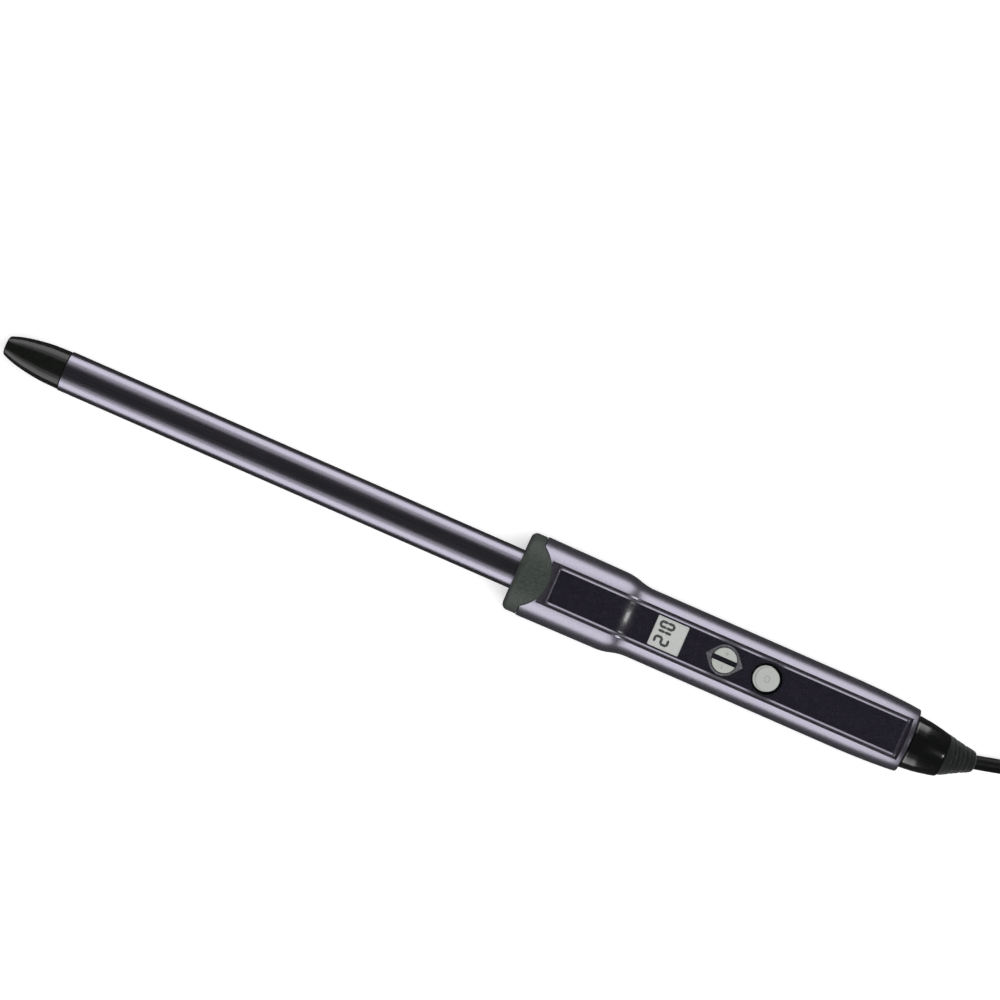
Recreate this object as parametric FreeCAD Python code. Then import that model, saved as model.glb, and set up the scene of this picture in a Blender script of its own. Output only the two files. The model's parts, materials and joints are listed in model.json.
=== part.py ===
import FreeCAD, Part
import math
import os
from FreeCAD import Vector

# Straight curling wand with a digital control panel and a turning cord exit.
# It lies on its handle with the panel up. X runs from the tip to the cord, Z is up.
# Sizes are millimetres. Along the wand, places are measured from the front face of the
# collar: negative towards the tip. Heights of pieces are measured from the barrel's axis.

# ---- barrel and tip ----
barrel_diameter = 16.0
barrel_wall = 1.0
barrel_length = 190.0
barrel_inset = 8.5
barrel_held_diameter = barrel_diameter - 0.8
tip_length = 24.8
tip_base_diameter = barrel_diameter - 0.6
tip_spigot_length = 8.0
tip_screw_diameter = 2.9

# ---- heater inside the barrel ----
heater_front = 40.0 - barrel_length
heater_length = 96.0
stone_count = 3
stone_gap = 2.0
stone_width = 8.0
stone_thickness = 2.0
electrode_thickness = 0.3
insulator_thickness = 0.6

# ---- collar ----
collar_diameter = 32.0
collar_length = 6.2
collar_front_wall = 2.5
collar_corner = 2.4
tongue_reach = 13.0
tongue_half_width = 12.5
tongue_thickness = 2.0

# ---- handle shells ----
handle_front_diameter = 32.6
handle_shoulder_diameter = 32.0
shoulder_at = 39.3
grip_starts = 52.0
grip_diameter = 28.0
handle_length = 164.4
taper_starts = handle_length - 27.7
handle_end_diameter = 25.8
end_chamfer = 0.7
shell_wall = 1.8
neck_starts = 2.6
neck_wall = 1.9
neck_ends = 16.0
holder_ends = 11.5
holder_screw_at = 5.5
holder_screw_radius = 1.25
holder_screw_bite = 0.9
seat_floor = 1.1

# ---- control panel ----
panel_starts = 14.4
panel_ends = handle_length - 3.8
panel_width = 16.0
panel_thickness = 1.3
panel_drop = 0.25
face_depth = 0.35
face_end_margin = 1.1

# ---- display ----
display_at = 63.2
display_length = 12.8
display_width = 12.2
lcd_thickness = 2.0

# ---- keys and button ----
keys_at = 86.6
key_diameter = 9.8
key_slit = 1.9
key_rise = 2.0
key_edge = 0.4
bezel_length = key_diameter + 5.6
bezel_ring = 0.8
bezel_height = 0.45
power_at = 104.3
power_face_diameter = 9.6
power_base_diameter = 11.6
power_rise = 2.6
power_skirt = 0.4
power_ring = 0.4
power_ring_height = 0.3
press_travel = 0.8
flange_thickness = 0.7
flange_overlap = 0.7
stem_diameter = 3.0

# ---- circuit board ----
board_starts = 49.5
board_ends = handle_length - 31.4
board_width = 20.0
board_thickness = 1.6
board_top = 2.0
switch_side = 4.4
switch_height = 5.0
key_switch_offset = 3.4
screw_diameter = 2.6
screw_head_diameter = 4.8
boss_diameter = 6.4
case_screw_front = 30.0
case_screw_rear = handle_length - 24.9
case_screw_length = 15.0
board_screw_diameter = 2.0
board_screw_inset = 4.0

# ---- turning cord exit ----
hub_front_diameter = 21.4
hub_rear_diameter = 17.0
hub_length = 14.6
hub_gap = 0.4
journal_diameter = 8.8
journal_starts = handle_length - 20.4
bush_diameter = 13.8
bush_starts = handle_length - 10.8
bush_flange_diameter = 15.6
bush_flange_at = handle_length - 7.4
bush_flange_thickness = 2.0
slip_ring_diameter = 11.2
slip_ring_width = 2.4
slip_ring_gap = 1.0
retainer_thickness = 1.0

# ---- strain relief ----
boot_pivot_back = 4.4
boot_length = 16.6
boot_base_diameter = 16.2
boot_end_diameter = 8.6
boot_yaw = 9.0
boot_pitch = -12.0
boot_root_length = 6.0
boot_root_diameter = 10.0
rib_count = 4
rib_depth = 0.5

# ---- cord, hank and plug ----
cord_diameter = 5.6
hank_straight = 85.0
hank_fold_radius = 16.8
hank_turns_wide = 2
hank_layers = 3
hank_front = 251.5
hank_side = -8.0
tie_width = 12.0
tie_thickness = 0.8
plug_length = 35.0
plug_width = 35.3
plug_thickness = 13.7
plug_pin_diameter = 4.0
plug_pin_length = 19.0
plug_pin_spacing = 18.6
plug_pin_rounding = 0.9
plug_root_radius = 1.55
plug_root_length = 7.5
plug_neck = 7.0
plug_shoulder = 13.0
plug_cheek = 9.0
plug_corner = 4.5
plug_relief_length = 24.0
plug_relief_diameter = 10.0
plug_back = 292.0
plug_side = 4.0

# ---- clearances ----
running_gap = 0.05
cord_room = 0.2
seam_gap = 0.1
moving_gap = 0.3
panel_gap = 0.5
# The sunk face is wide enough for the ring round the keys.
face_width = max(panel_width - 2.8, key_diameter + 2 * (moving_gap + bezel_ring) + 0.3)
fit_gap = 0.05

# ---- pieces on the board, and what they hang from ----
mcu_back = 14.0
mcu_side = 9.0
mcu_height = 1.4
switch_body_height = 3.2
terminal_length = 7.0
terminal_half = 5.5
terminal_hole = 1.8
lead_spacing = 2.6
heater_lead_diameter = 1.5
internal_lead_diameter = 1.4
triac_at = 76.0
triac_tab = (15.0, 10.0, 1.3)
triac_body = (9.5, 10.0, 4.4)
film_capacitor_at = 97.0
film_capacitor_size = (13.0, 13.0, 6.5)
electrolytic_at = 61.0
electrolytic_length = 11.0
electrolytic_diameter = 6.3
dropper_at = 112.0
dropper_side = 7.0
dropper_length = 9.0
dropper_diameter = 3.0

# ---- worked-out sizes ----
barrel_radius = barrel_diameter / 2
barrel_bore = barrel_radius - barrel_wall
held_radius = barrel_held_diameter / 2
front_radius = handle_front_diameter / 2
shoulder_radius = handle_shoulder_diameter / 2
grip_radius = grip_diameter / 2
end_radius = handle_end_diameter / 2
axis_height = max(front_radius, collar_diameter / 2)
slot_half = panel_width / 2 + panel_gap
tongue_outer = shoulder_radius
neck_outer = tongue_outer - tongue_thickness - seam_gap
neck_bore = neck_outer - neck_wall
taper_radius = ((handle_length - taper_starts) ** 2 + (grip_radius - end_radius) ** 2) / (
    2 * (grip_radius - end_radius)
)


def handle_radius(at):
    """The grip's outer radius at a place on its rear taper."""
    return grip_radius - taper_radius + math.sqrt(taper_radius**2 - (at - taper_starts) ** 2)


def panel_level(radius):
    """The height of the panel's rim, just under the edge of the slot in a shell of this radius."""
    return math.sqrt(radius**2 - slot_half**2) - panel_drop


front_level = panel_level(shoulder_radius)
grip_level = panel_level(grip_radius)
face_level = grip_level - face_depth
panel_under = grip_level - panel_thickness
floor_under = panel_under - seat_floor
switch_top = board_top + switch_height
stem_low = switch_top + press_travel + fit_gap
flange_top = panel_under - moving_gap
flange_low = flange_top - flange_thickness


# ---- drawing helpers ----
def wire(start, legs):
    """A closed outline in the XZ plane. A leg of two numbers is a line to a point, and of four
    an arc through the first point to the second."""
    here = Vector(start[0], 0, start[1])
    first = here
    edges = []
    for leg in legs:
        end = Vector(leg[-2], 0, leg[-1])
        if len(leg) == 4:
            edges.append(Part.Arc(here, Vector(leg[0], 0, leg[1]), end).toShape())
        else:
            edges.append(Part.LineSegment(here, end).toShape())
        here = end
    if (here - first).Length > 1e-6:
        edges.append(Part.LineSegment(here, first).toShape())
    return Part.Wire(edges)


def turned(start, *legs):
    """A solid of revolution about the barrel's axis, from an outline of (place, radius)."""
    face = Part.Face(wire(start, legs))
    return face.revolve(Vector(0, 0, 0), Vector(1, 0, 0), 360)


def slab(half_width, start, *legs):
    """An outline of (place, height) given a width, centred on the axis."""
    face = Part.Face(wire(start, legs))
    face.translate(Vector(0, -half_width, 0))
    return face.extrude(Vector(0, 2 * half_width, 0))


def block(low, high):
    size = Vector(*high) - Vector(*low)
    return Part.makeBox(size.x, size.y, size.z, Vector(*low))


def rod(place, radius, length, along):
    return Part.makeCylinder(radius, length, Vector(*place), Vector(*along))


def ring(start, end, outer, inner):
    """A tube on the barrel's axis."""
    tube = rod((start, 0, 0), outer, end - start, (1, 0, 0))
    return tube.cut(rod((start - 1, 0, 0), inner, end - start + 2, (1, 0, 0)))


def upright(at, side, low, high, radius):
    return rod((at, side, low), radius, high - low, (0, 0, 1))


def s_legs(x1, z1, x2, z2):
    """Two tangent arcs from one level to another, both ends parallel to the axis."""
    run = x2 - x1
    drop = z1 - z2
    radius = (run**2 + drop**2) / (4 * drop)
    half = math.asin(run / 2 / radius) / 2
    side = radius * math.sin(half)
    fall = radius * (1 - math.cos(half))
    middle = ((x1 + x2) / 2, (z1 + z2) / 2)
    return [(x1 + side, z1 - fall, *middle), (x2 - side, z2 + fall, x2, z2)]


def s_legs_back(x1, z1, x2, z2):
    """The same two arcs, run from the far end to the near one."""
    first, second = s_legs(x1, z1, x2, z2)
    return [(*second[:2], *first[2:]), (*first[:2], x1, z1)]


def taper_leg(end, offset):
    """The arc of the rear taper, a given distance inside the handle's outline."""
    middle = (taper_starts + end) / 2
    return (middle, handle_radius(middle) - offset, end, handle_radius(end) - offset)


def level_legs(start, end, depth):
    """The panel's rim line from front to rear, a given depth below the rim."""
    middle = (taper_starts + end) / 2
    return [
        (shoulder_at, front_level - depth),
        *s_legs(shoulder_at, front_level - depth, grip_starts, grip_level - depth),
        (taper_starts, grip_level - depth),
        (
            middle,
            panel_level(handle_radius(middle)) - depth,
            end,
            panel_level(handle_radius(end)) - depth,
        ),
    ]


def under_panel(half_width, start, end, top_depth, low_depth):
    """A strip that follows the panel's line between two depths."""
    middle = (taper_starts + end) / 2
    return slab(
        half_width,
        (start, front_level - top_depth),
        *level_legs(start, end, top_depth),
        (end, panel_level(handle_radius(end)) - low_depth),
        (
            middle,
            panel_level(handle_radius(middle)) - low_depth,
            taper_starts,
            grip_level - low_depth,
        ),
        (grip_starts, grip_level - low_depth),
        *s_legs_back(
            shoulder_at, front_level - low_depth, grip_starts, grip_level - low_depth
        ),
        (start, front_level - low_depth),
    )


def joined(*shapes):
    """Touching pieces fused to one solid."""
    return shapes[0].fuse(list(shapes[1:])).removeSplitter()


def group(*shapes):
    """Separate solids that share one node."""
    return Part.makeCompound(list(shapes))


def filleted(solid, radius, chosen):
    """Rounds the edges for which chosen(edge) is true."""
    return solid.makeFillet(radius, [e for e in solid.Edges if chosen(e)])


def route_path(points):
    """Straight runs joined by tangent arcs, each as large as its two runs allow."""
    points = [Vector(*p) for p in points]
    edges = []
    radii = []
    here = points[0]
    for before, corner, after in zip(points, points[1:], points[2:]):
        back = before - corner
        on = after - corner
        turn = math.pi - back.getAngle(on)
        setback = 0.45 * min(back.Length, on.Length)
        radius = setback / math.tan(turn / 2)
        back.normalize()
        on.normalize()
        enters = corner + back * setback
        leaves = corner + on * setback
        inward = back + on
        inward.normalize()
        middle = corner + inward * (radius / math.cos(turn / 2) - radius)
        edges.append(Part.LineSegment(here, enters).toShape())
        edges.append(Part.Arc(enters, middle, leaves).toShape())
        radii.append(radius)
        here = leaves
    edges.append(Part.LineSegment(here, points[-1]).toShape())
    return Part.Wire(edges), radii


def routed(points, diameter, name):
    """A tube along a route, with its bend radii printed and its volume compared."""
    path, radii = route_path(points)
    start = Vector(*points[0])
    section = Part.makeCircle(diameter / 2, start, Vector(*points[1]) - start)
    tube = path.makePipeShell([Part.Wire([section])], True, False)
    expected = math.pi * diameter**2 / 4 * path.Length
    print(
        f"{name}: length {path.Length:.1f}, radii {[round(r) for r in radii]}, "
        f"volume {tube.Volume:.0f} of {expected:.0f}"
    )
    return tube


# ---- barrel, tip and heater ----
def make_tip_cap():
    """Moulded cool tip: shares of its length and of its base radius give the curve."""
    base = tip_base_diameter / 2
    front = -barrel_length - tip_length
    shares = [(0.0, 1.0), (0.3, 0.965), (0.55, 0.865), (0.77, 0.725), (0.92, 0.57)]
    curve_points = [
        Vector(-barrel_length - tip_length * along, 0, base * across) for along, across in shares
    ]
    curve = Part.BSplineCurve()
    curve.interpolate(curve_points)
    shoulder = curve_points[-1]
    nose = Vector(front, 0, base * 0.33)
    bend = Vector(front + 0.28 * (shoulder.x - front), 0, base * 0.49)
    edges = [
        curve.toShape(),
        Part.Arc(shoulder, bend, nose).toShape(),
        Part.LineSegment(nose, Vector(front, 0, 0)).toShape(),
        Part.LineSegment(Vector(front, 0, 0), Vector(-barrel_length, 0, 0)).toShape(),
        Part.LineSegment(Vector(-barrel_length, 0, 0), curve_points[0]).toShape(),
    ]
    cap = Part.Face(Part.Wire(edges)).revolve(Vector(0, 0, 0), Vector(1, 0, 0), 360)
    hole = rod((-barrel_length - 10, 0, 0), tip_screw_diameter / 2, 12, (1, 0, 0))
    return cap.cut(hole)


def make_tip_insert():
    start = -barrel_length
    plug = rod((start, 0, 0), barrel_bore - fit_gap, tip_spigot_length, (1, 0, 0))
    return plug.cut(rod((start - 1, 0, 0), tip_screw_diameter / 2, tip_spigot_length + 2, (1, 0, 0)))


def make_tip_screw():
    end = -barrel_length + tip_spigot_length
    shank = rod((end - 16, 0, 0), tip_screw_diameter / 2, 16, (1, 0, 0))
    return joined(shank, rod((end, 0, 0), tip_screw_diameter, 1.8, (1, 0, 0)))


def make_barrel_tube():
    tube = joined(
        ring(-barrel_length, 0, barrel_radius, barrel_bore),
        ring(0, barrel_inset, held_radius, barrel_bore),
    )
    reach = barrel_radius + 1
    across = rod((holder_screw_at, -reach, 0), holder_screw_radius, 2 * reach, (0, 1, 0))
    return tube.cut(across)


def make_spreader(sign):
    """One aluminium half-round that carries heat from the element to the barrel."""
    flat = stone_thickness / 2 + electrode_thickness + insulator_thickness + fit_gap
    bar = rod((heater_front, 0, 0), barrel_bore - fit_gap, heater_length, (1, 0, 0))
    low, high = (flat, barrel_radius) if sign > 0 else (-barrel_radius, -flat)
    end = heater_front + heater_length + 1
    return bar.common(block((heater_front - 1, -barrel_radius, low), (end, barrel_radius, high)))


def make_ptc_heater():
    length = (heater_length - 8 - stone_gap * (stone_count - 1)) / stone_count
    stones = []
    for index in range(stone_count):
        start = heater_front + 4 + index * (length + stone_gap)
        stones.append(
            block(
                (start, -stone_width / 2, -stone_thickness / 2),
                (start + length, stone_width / 2, stone_thickness / 2),
            )
        )
    return group(*stones)


def make_strips(inner, thickness, half_width, tail):
    """Two flat strips, over and under the heating stones."""
    start = heater_front + 2
    end = heater_front + heater_length + tail
    return group(
        block((start, -half_width, inner), (end, half_width, inner + thickness)),
        block((start, -half_width, -inner - thickness), (end, half_width, -inner)),
    )


def make_temperature_sensor():
    start = heater_front + heater_length + 12
    bead = rod((start, 0, 4.0), 1.0, 4.0, (1, 0, 0))
    return joined(bead, Part.makeSphere(1.0, Vector(start, 0, 4.0)))


def make_thermal_fuse():
    start = heater_front + heater_length + 20
    can = rod((start, 0, -3.4), 2.0, 9.5, (1, 0, 0))
    return joined(can, rod((start + 9.5, 0, -3.4), 1.1, 1.6, (1, 0, 0)))


def make_barrel_holder():
    holder = ring(neck_starts, holder_ends, neck_bore - fit_gap, held_radius + fit_gap)
    across = rod((holder_screw_at, -20, 0), holder_screw_radius, 40, (0, 1, 0))
    return holder.cut(across)


def make_holder_screws():
    start = barrel_radius - holder_screw_bite
    length = neck_bore - fit_gap - 0.4 - start
    return group(
        rod((holder_screw_at, start, 0), holder_screw_radius, length, (0, 1, 0)),
        rod((holder_screw_at, -start, 0), holder_screw_radius, length, (0, -1, 0)),
    )


# ---- collar and shells ----
def tongue_prism(spread, top):
    """The collar's arc seen from above, from its straight joint to the tip of the tongue."""
    sagitta = tongue_reach - collar_length
    radius = (tongue_half_width**2 + sagitta**2) / (2 * sagitta)
    centre = tongue_reach - radius
    disc = rod((centre, 0, 0.0), radius + spread, top, (0, 0, 1))
    return disc.common(block((collar_length - 3, -25, 0), (tongue_reach + 5, 25, top)))


def make_collar():
    outer = collar_diameter / 2
    body = turned(
        (0, 0),
        (0, outer - collar_corner),
        (
            collar_corner * (1 - math.sqrt(0.5)),
            outer - collar_corner * (1 - math.sqrt(0.5)),
            collar_corner,
            outer,
        ),
        (collar_length, tongue_outer),
        (collar_length, 0),
    )
    layer = ring(
        collar_length - 0.5, tongue_reach + 1, tongue_outer, neck_outer + seam_gap
    ).common(tongue_prism(0, 30))
    layer = layer.common(block((collar_length - 0.5, -20, 4), (tongue_reach + 1, 20, 20)))
    body = body.fuse(layer).removeSplitter()
    skirt_bore = rod(
        (collar_front_wall, 0, 0), neck_outer + seam_gap, tongue_reach, (1, 0, 0)
    )
    barrel_hole = rod((-1, 0, 0), barrel_radius + seam_gap, 10, (1, 0, 0))
    return body.cut(skirt_bore).cut(barrel_hole)


def cut_bush_seat(shell):
    """The bore at the rear of the handle that holds the swivel's bush, with its flange groove."""
    radius = bush_diameter / 2 + fit_gap
    bore = rod((bush_starts - 6, 0, 0), radius, handle_length, (1, 0, 0))
    groove = rod(
        (bush_flange_at - fit_gap, 0, 0),
        bush_flange_diameter / 2 + fit_gap,
        bush_flange_thickness + 2 * fit_gap,
        (1, 0, 0),
    )
    return shell.cut(bore).cut(groove)


def make_whole_shell():
    """Both halves of the handle in one, before they are parted at the axis."""
    front = collar_length + seam_gap
    outer = turned(
        (neck_starts, 0),
        (neck_starts, neck_outer),
        (front, neck_outer),
        (front, front_radius),
        (shoulder_at, shoulder_radius),
        *s_legs(shoulder_at, shoulder_radius, grip_starts, grip_radius),
        (taper_starts, grip_radius),
        taper_leg(handle_length - end_chamfer, 0),
        (handle_length, handle_radius(handle_length) - end_chamfer),
        (handle_length, 0),
    )
    wide = shoulder_radius - shell_wall
    slim = grip_radius - shell_wall
    inner = turned(
        (neck_starts - 1, 0),
        (neck_starts - 1, neck_bore),
        (neck_ends, neck_bore),
        (neck_ends + 2, wide),
        (shoulder_at, wide),
        *s_legs(shoulder_at, wide, grip_starts, slim),
        (taper_starts, slim),
        taper_leg(bush_flange_at - 4, shell_wall),
        (bush_flange_at - 4, 0),
    )
    return cut_bush_seat(outer.cut(inner))


def boss(at, low, high):
    return upright(at, 0, low, high, boss_diameter / 2)


def make_upper_shell(whole):
    half = whole.common(block((-5, -30, seam_gap / 2), (handle_length + 5, 30, 30)))
    start = panel_starts - panel_gap
    end = panel_ends + panel_gap
    seat = under_panel(slot_half + 0.4, start, end, panel_thickness, panel_thickness + seat_floor)
    hull = turned(
        (neck_starts, 0),
        (neck_starts, shoulder_radius - 0.3),
        (shoulder_at, shoulder_radius - 0.3),
        *s_legs(shoulder_at, shoulder_radius - 0.3, grip_starts, grip_radius - 0.3),
        (taper_starts, grip_radius - 0.3),
        taper_leg(handle_length - 1, 0.3),
        (handle_length - 1, 0),
    )
    half = half.fuse(seat.common(hull)).removeSplitter()
    posts = [
        boss(case_screw_front, seam_gap / 2, front_level - panel_thickness),
        boss(case_screw_rear, seam_gap / 2, panel_under - 0.2),
    ]
    half = half.fuse(posts)
    slot = under_panel(slot_half, start, end, -20, panel_thickness)
    half = half.cut(slot)
    window = block(
        (display_at - display_length / 2 - 2, -7.3, 3), (power_at + power_base_diameter / 2 + 2, 7.3, 20)
    )
    half = half.cut(window)
    half = half.cut(tongue_prism(seam_gap, 30).common(
        ring(collar_length - 3, tongue_reach + 5, 30, neck_outer)
    ))
    for at, top in case_screw_places():
        half = half.cut(upright(at, 0, -1, 20, screw_diameter / 2 + fit_gap))
    return cut_bush_seat(half)


def case_screw_places():
    """Each case screw's place, with the height of the seat floor that its head rests on."""
    rear_under = panel_level(handle_radius(case_screw_rear)) - panel_thickness
    return [
        (case_screw_front, front_level - panel_thickness),
        (case_screw_rear, rear_under),
    ]


def make_lower_shell(whole):
    half = whole.common(block((-5, -30, -30), (handle_length + 5, 30, -seam_gap / 2)))
    posts = []
    for at, top in case_screw_places():
        radius = shoulder_radius if at < shoulder_at else grip_radius
        posts.append(boss(at, 0.5 - radius, -seam_gap / 2))
    for at, side in board_screw_places():
        low = -math.sqrt((grip_radius - 0.5) ** 2 - (abs(side) + 2) ** 2)
        posts.append(upright(at, side, low, board_top - board_thickness, 2.0))
    half = half.fuse(posts).removeSplitter()
    for at, top in case_screw_places():
        depth = top - case_screw_length - 1
        half = half.cut(upright(at, 0, depth, 1, screw_diameter / 2 + fit_gap))
    for at, side in board_screw_places():
        half = half.cut(upright(at, side, -5, 5, board_screw_diameter / 2 + fit_gap))
    return half


def make_case_screws():
    """Pan-head screws, hidden under the panel, with the heads sunk in the panel's underside."""
    screws = []
    for at, top in case_screw_places():
        shank = upright(at, 0, top - case_screw_length, top + 0.1, screw_diameter / 2)
        head = upright(at, 0, top + 0.02, top + 0.7, screw_head_diameter / 2)
        screws.append(joined(shank, head))
    return group(*screws)


# ---- panel, display and keys ----
def make_control_panel():
    panel = under_panel(panel_width / 2, panel_starts, panel_ends, 0, panel_thickness)
    start = panel_starts + face_end_margin
    end = panel_ends - face_end_margin
    panel = panel.cut(under_panel(face_width / 2, start, end, -5, face_depth))
    window = block(
        (display_at - display_length / 2, -display_width / 2, 0),
        (display_at + display_length / 2, display_width / 2, 20),
    )
    panel = panel.cut(window)
    key_hole = key_diameter / 2 + moving_gap
    power_hole = power_base_diameter / 2 + moving_gap
    panel = panel.cut(upright(keys_at, 0, 0, 20, key_hole))
    panel = panel.cut(upright(power_at, 0, 0, 20, power_hole))
    for at, top in case_screw_places():
        panel = panel.cut(upright(at, 0, top - 1, top + 0.8, screw_head_diameter / 2 + fit_gap))
    return panel


def make_display_lens():
    half_length = display_length / 2 - fit_gap
    half_width = display_width / 2 - fit_gap
    return block(
        (display_at - half_length, -half_width, panel_under),
        (display_at + half_length, half_width, face_level),
    )


def make_display_module():
    return block(
        (display_at - display_length / 2 - 1.2, -6.9, panel_under - fit_gap - lcd_thickness),
        (display_at + display_length / 2 + 1.2, 6.9, panel_under - fit_gap),
    )


def make_display_frame():
    top = panel_under - 2 * fit_gap - lcd_thickness
    start = display_at - display_length / 2 - 1.0
    end = display_at + display_length / 2 + 1.0
    frame = block((start, -6.8, board_top + fit_gap), (end, 6.8, top))
    return frame.cut(block((start + 1.5, -5.3, board_top - 1), (end - 1.5, 5.3, top + 1)))


def half_round(radius, slit, sign, low, high, at):
    """Half of a disc, on one side of the slit between the two keys."""
    disc = upright(at, 0, low, high, radius)
    return disc.common(block((at - 20, min(sign * slit, sign * 20), low - 1),
                             (at + 20, max(sign * slit, sign * 20), high + 1)))


def make_temperature_key(sign):
    top = face_level + key_rise
    key = half_round(key_diameter / 2, key_slit / 2, sign, flange_low, top, keys_at)
    key = filleted(key, key_edge, lambda e: e.CenterOfMass.z > top - 0.01)
    wide = key_diameter / 2 + flange_overlap
    flange = half_round(wide, key_slit / 2, sign, flange_low, flange_top, keys_at)
    stem = upright(keys_at, sign * key_switch_offset, stem_low, flange_low, stem_diameter / 2)
    return joined(key, flange, stem)


def make_key_bezel():
    """An eye-shaped ring with two points, and the bar between the keys."""
    outer = key_diameter / 2 + moving_gap + bezel_ring
    reach = bezel_length / 2
    top = face_level + bezel_height
    ring_body = upright(keys_at, 0, face_level, top, outer)
    slope = math.acos(outer / reach)
    points = []
    for turn in (0, slope, math.pi - slope, math.pi, math.pi + slope, -slope):
        length = reach if turn in (0, math.pi) else outer
        points.append(
            Vector(keys_at + length * math.cos(turn), length * math.sin(turn), face_level)
        )
    eye = Part.Face(Part.makePolygon(points + points[:1])).extrude(
        Vector(0, 0, top - face_level)
    )
    body = ring_body.fuse(eye).removeSplitter()
    hole = key_diameter / 2 + moving_gap
    body = body.cut(upright(keys_at, 0, face_level - 1, top + 1, hole))
    half_bar = key_slit / 2 - moving_gap
    bar = block((keys_at - hole - 0.2, -half_bar, face_level), (keys_at + hole + 0.2, half_bar, top))
    return body.fuse(bar).removeSplitter()


def make_power_button():
    """A flared button: wide skirt, smaller flat face, and a flange that keeps it in."""
    base = power_base_diameter / 2
    face = power_face_diameter / 2
    top = face_level + power_rise
    skirt_top = face_level + power_skirt
    outline = [
        (0, flange_low),
        (base + flange_overlap, flange_low),
        (base + flange_overlap, flange_top),
        (base, flange_top),
        (base, skirt_top),
        (face + 0.25, top - 0.45),
        (face - 0.3, top),
        (0, top),
    ]
    corners = [Vector(power_at + r, 0, z) for r, z in outline]
    side = Part.Face(Part.makePolygon(corners + corners[:1]))
    button = side.revolve(Vector(power_at, 0, 0), Vector(0, 0, 1), 360)
    return joined(button, upright(power_at, 0, stem_low, flange_low + 0.1, stem_diameter / 2))


def make_power_bezel():
    inner = power_base_diameter / 2 + moving_gap
    top = face_level + power_ring_height
    disc = upright(power_at, 0, face_level, top, inner + power_ring)
    return disc.cut(upright(power_at, 0, face_level - 1, top + 1, inner))


# ---- electronics ----
def board_screw_places():
    near = board_starts + board_screw_inset
    far = board_ends - board_screw_inset
    side = board_width / 2 - 2.2
    return [(near, side), (near, -side), (far, side), (far, -side)]


def make_circuit_board():
    half = board_width / 2
    board = block((board_starts, -half, board_top - board_thickness), (board_ends, half, board_top))
    for at, side in board_screw_places():
        board = board.cut(upright(at, side, -5, 5, board_screw_diameter / 2 + fit_gap))
    return board


def make_board_screws():
    screws = []
    for at, side in board_screw_places():
        shank = upright(at, side, board_top - 6, board_top, board_screw_diameter / 2)
        head = upright(at, side, board_top, board_top + 1.0, board_screw_diameter * 0.9)
        screws.append(joined(shank, head))
    return group(*screws)


def make_tactile_switches():
    half = switch_side / 2
    body_top = board_top + switch_body_height
    spots = [
        (keys_at, key_switch_offset),
        (keys_at, -key_switch_offset),
        (power_at, 0),
    ]
    switches = []
    for at, side in spots:
        body = block((at - half, side - half, board_top), (at + half, side + half, body_top))
        switches.append(joined(body, upright(at, side, body_top, switch_top, 1.0)))
    return group(*switches)


def make_terminal_block():
    end = board_starts + 0.4
    start = end - terminal_length
    low = (start, -terminal_half, board_top + fit_gap)
    body = block(low, (end, terminal_half, board_top + terminal_half))
    for side in (-lead_spacing, lead_spacing):
        place = (start - 1, side, board_top + lead_spacing)
        body = body.cut(rod(place, terminal_hole / 2, 5, (1, 0, 0)))
    return body


def make_heater_leads():
    """Two insulated wires from the element's electrodes back to the terminal block."""
    start = heater_front + heater_length + 8
    end = board_starts + 0.4 - terminal_length + 3
    level = board_top + lead_spacing
    leads = []
    for sign in (-1, 1):
        points = [
            (start, sign * 1.2, 0),
            (start + 30, sign * 3.4, -0.2),
            (12, sign * 4.2, 0.4),
            (30, sign * 5.6, 2.2),
            (end - 10, sign * lead_spacing, level),
            (end, sign * lead_spacing, level),
        ]
        leads.append(routed(points, heater_lead_diameter, "heater lead"))
    return group(*leads)


def make_internal_leads():
    """Two wires from the brushes forward to the board."""
    leads = []
    for sign in (-1, 1):
        points = [
            (board_ends - 10, sign * 4.5, board_top - board_thickness - 0.8),
            (board_ends - 3, sign * 4.9, board_top - board_thickness - 2.0),
            (board_ends + 4, sign * 5.2, -5.0),
            (journal_starts - 1.0, sign * 4.5, -8.6),
        ]
        leads.append(routed(points, internal_lead_diameter, "internal lead"))
    return group(*leads)


def make_microcontroller():
    at = power_at + mcu_back
    half = mcu_side / 2
    return block((at - half, -half, board_top), (at + half, half, board_top + mcu_height))


def hung(at, size):
    """A block of a length, width and height, hanging under the board from a place on it."""
    length, width, height = size
    under = board_top - board_thickness
    return block((at, -width / 2, under - height), (at + length, width / 2, under))


def make_triac():
    return joined(hung(triac_at, triac_tab), hung(triac_at, triac_body))


def make_film_capacitor():
    return hung(film_capacitor_at, film_capacitor_size)


def make_electrolytic_capacitor():
    radius = electrolytic_diameter / 2
    level = board_top - board_thickness - radius - 0.15
    can = rod((electrolytic_at, 0, level), radius, electrolytic_length, (1, 0, 0))
    end = (electrolytic_at + electrolytic_length, 0, level)
    return joined(can, rod(end, radius - 0.45, 0.8, (1, 0, 0)))


def make_dropper_resistor():
    radius = dropper_diameter / 2
    place = (dropper_at, dropper_side, board_top + radius + 0.1)
    return rod(place, radius, dropper_length, (1, 0, 0))


# ---- swivel ----
def make_swivel_bush():
    bush = turned(
        (bush_starts, 0),
        (bush_starts, bush_diameter / 2),
        (bush_flange_at, bush_diameter / 2),
        (bush_flange_at, bush_flange_diameter / 2),
        (bush_flange_at + bush_flange_thickness, bush_flange_diameter / 2),
        (bush_flange_at + bush_flange_thickness, bush_diameter / 2),
        (handle_length - 0.2, bush_diameter / 2),
        (handle_length - 0.2, 0),
    )
    bore = rod((bush_starts - 1, 0, 0), journal_diameter / 2 + running_gap, 30, (1, 0, 0))
    return bush.cut(bore)


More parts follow.
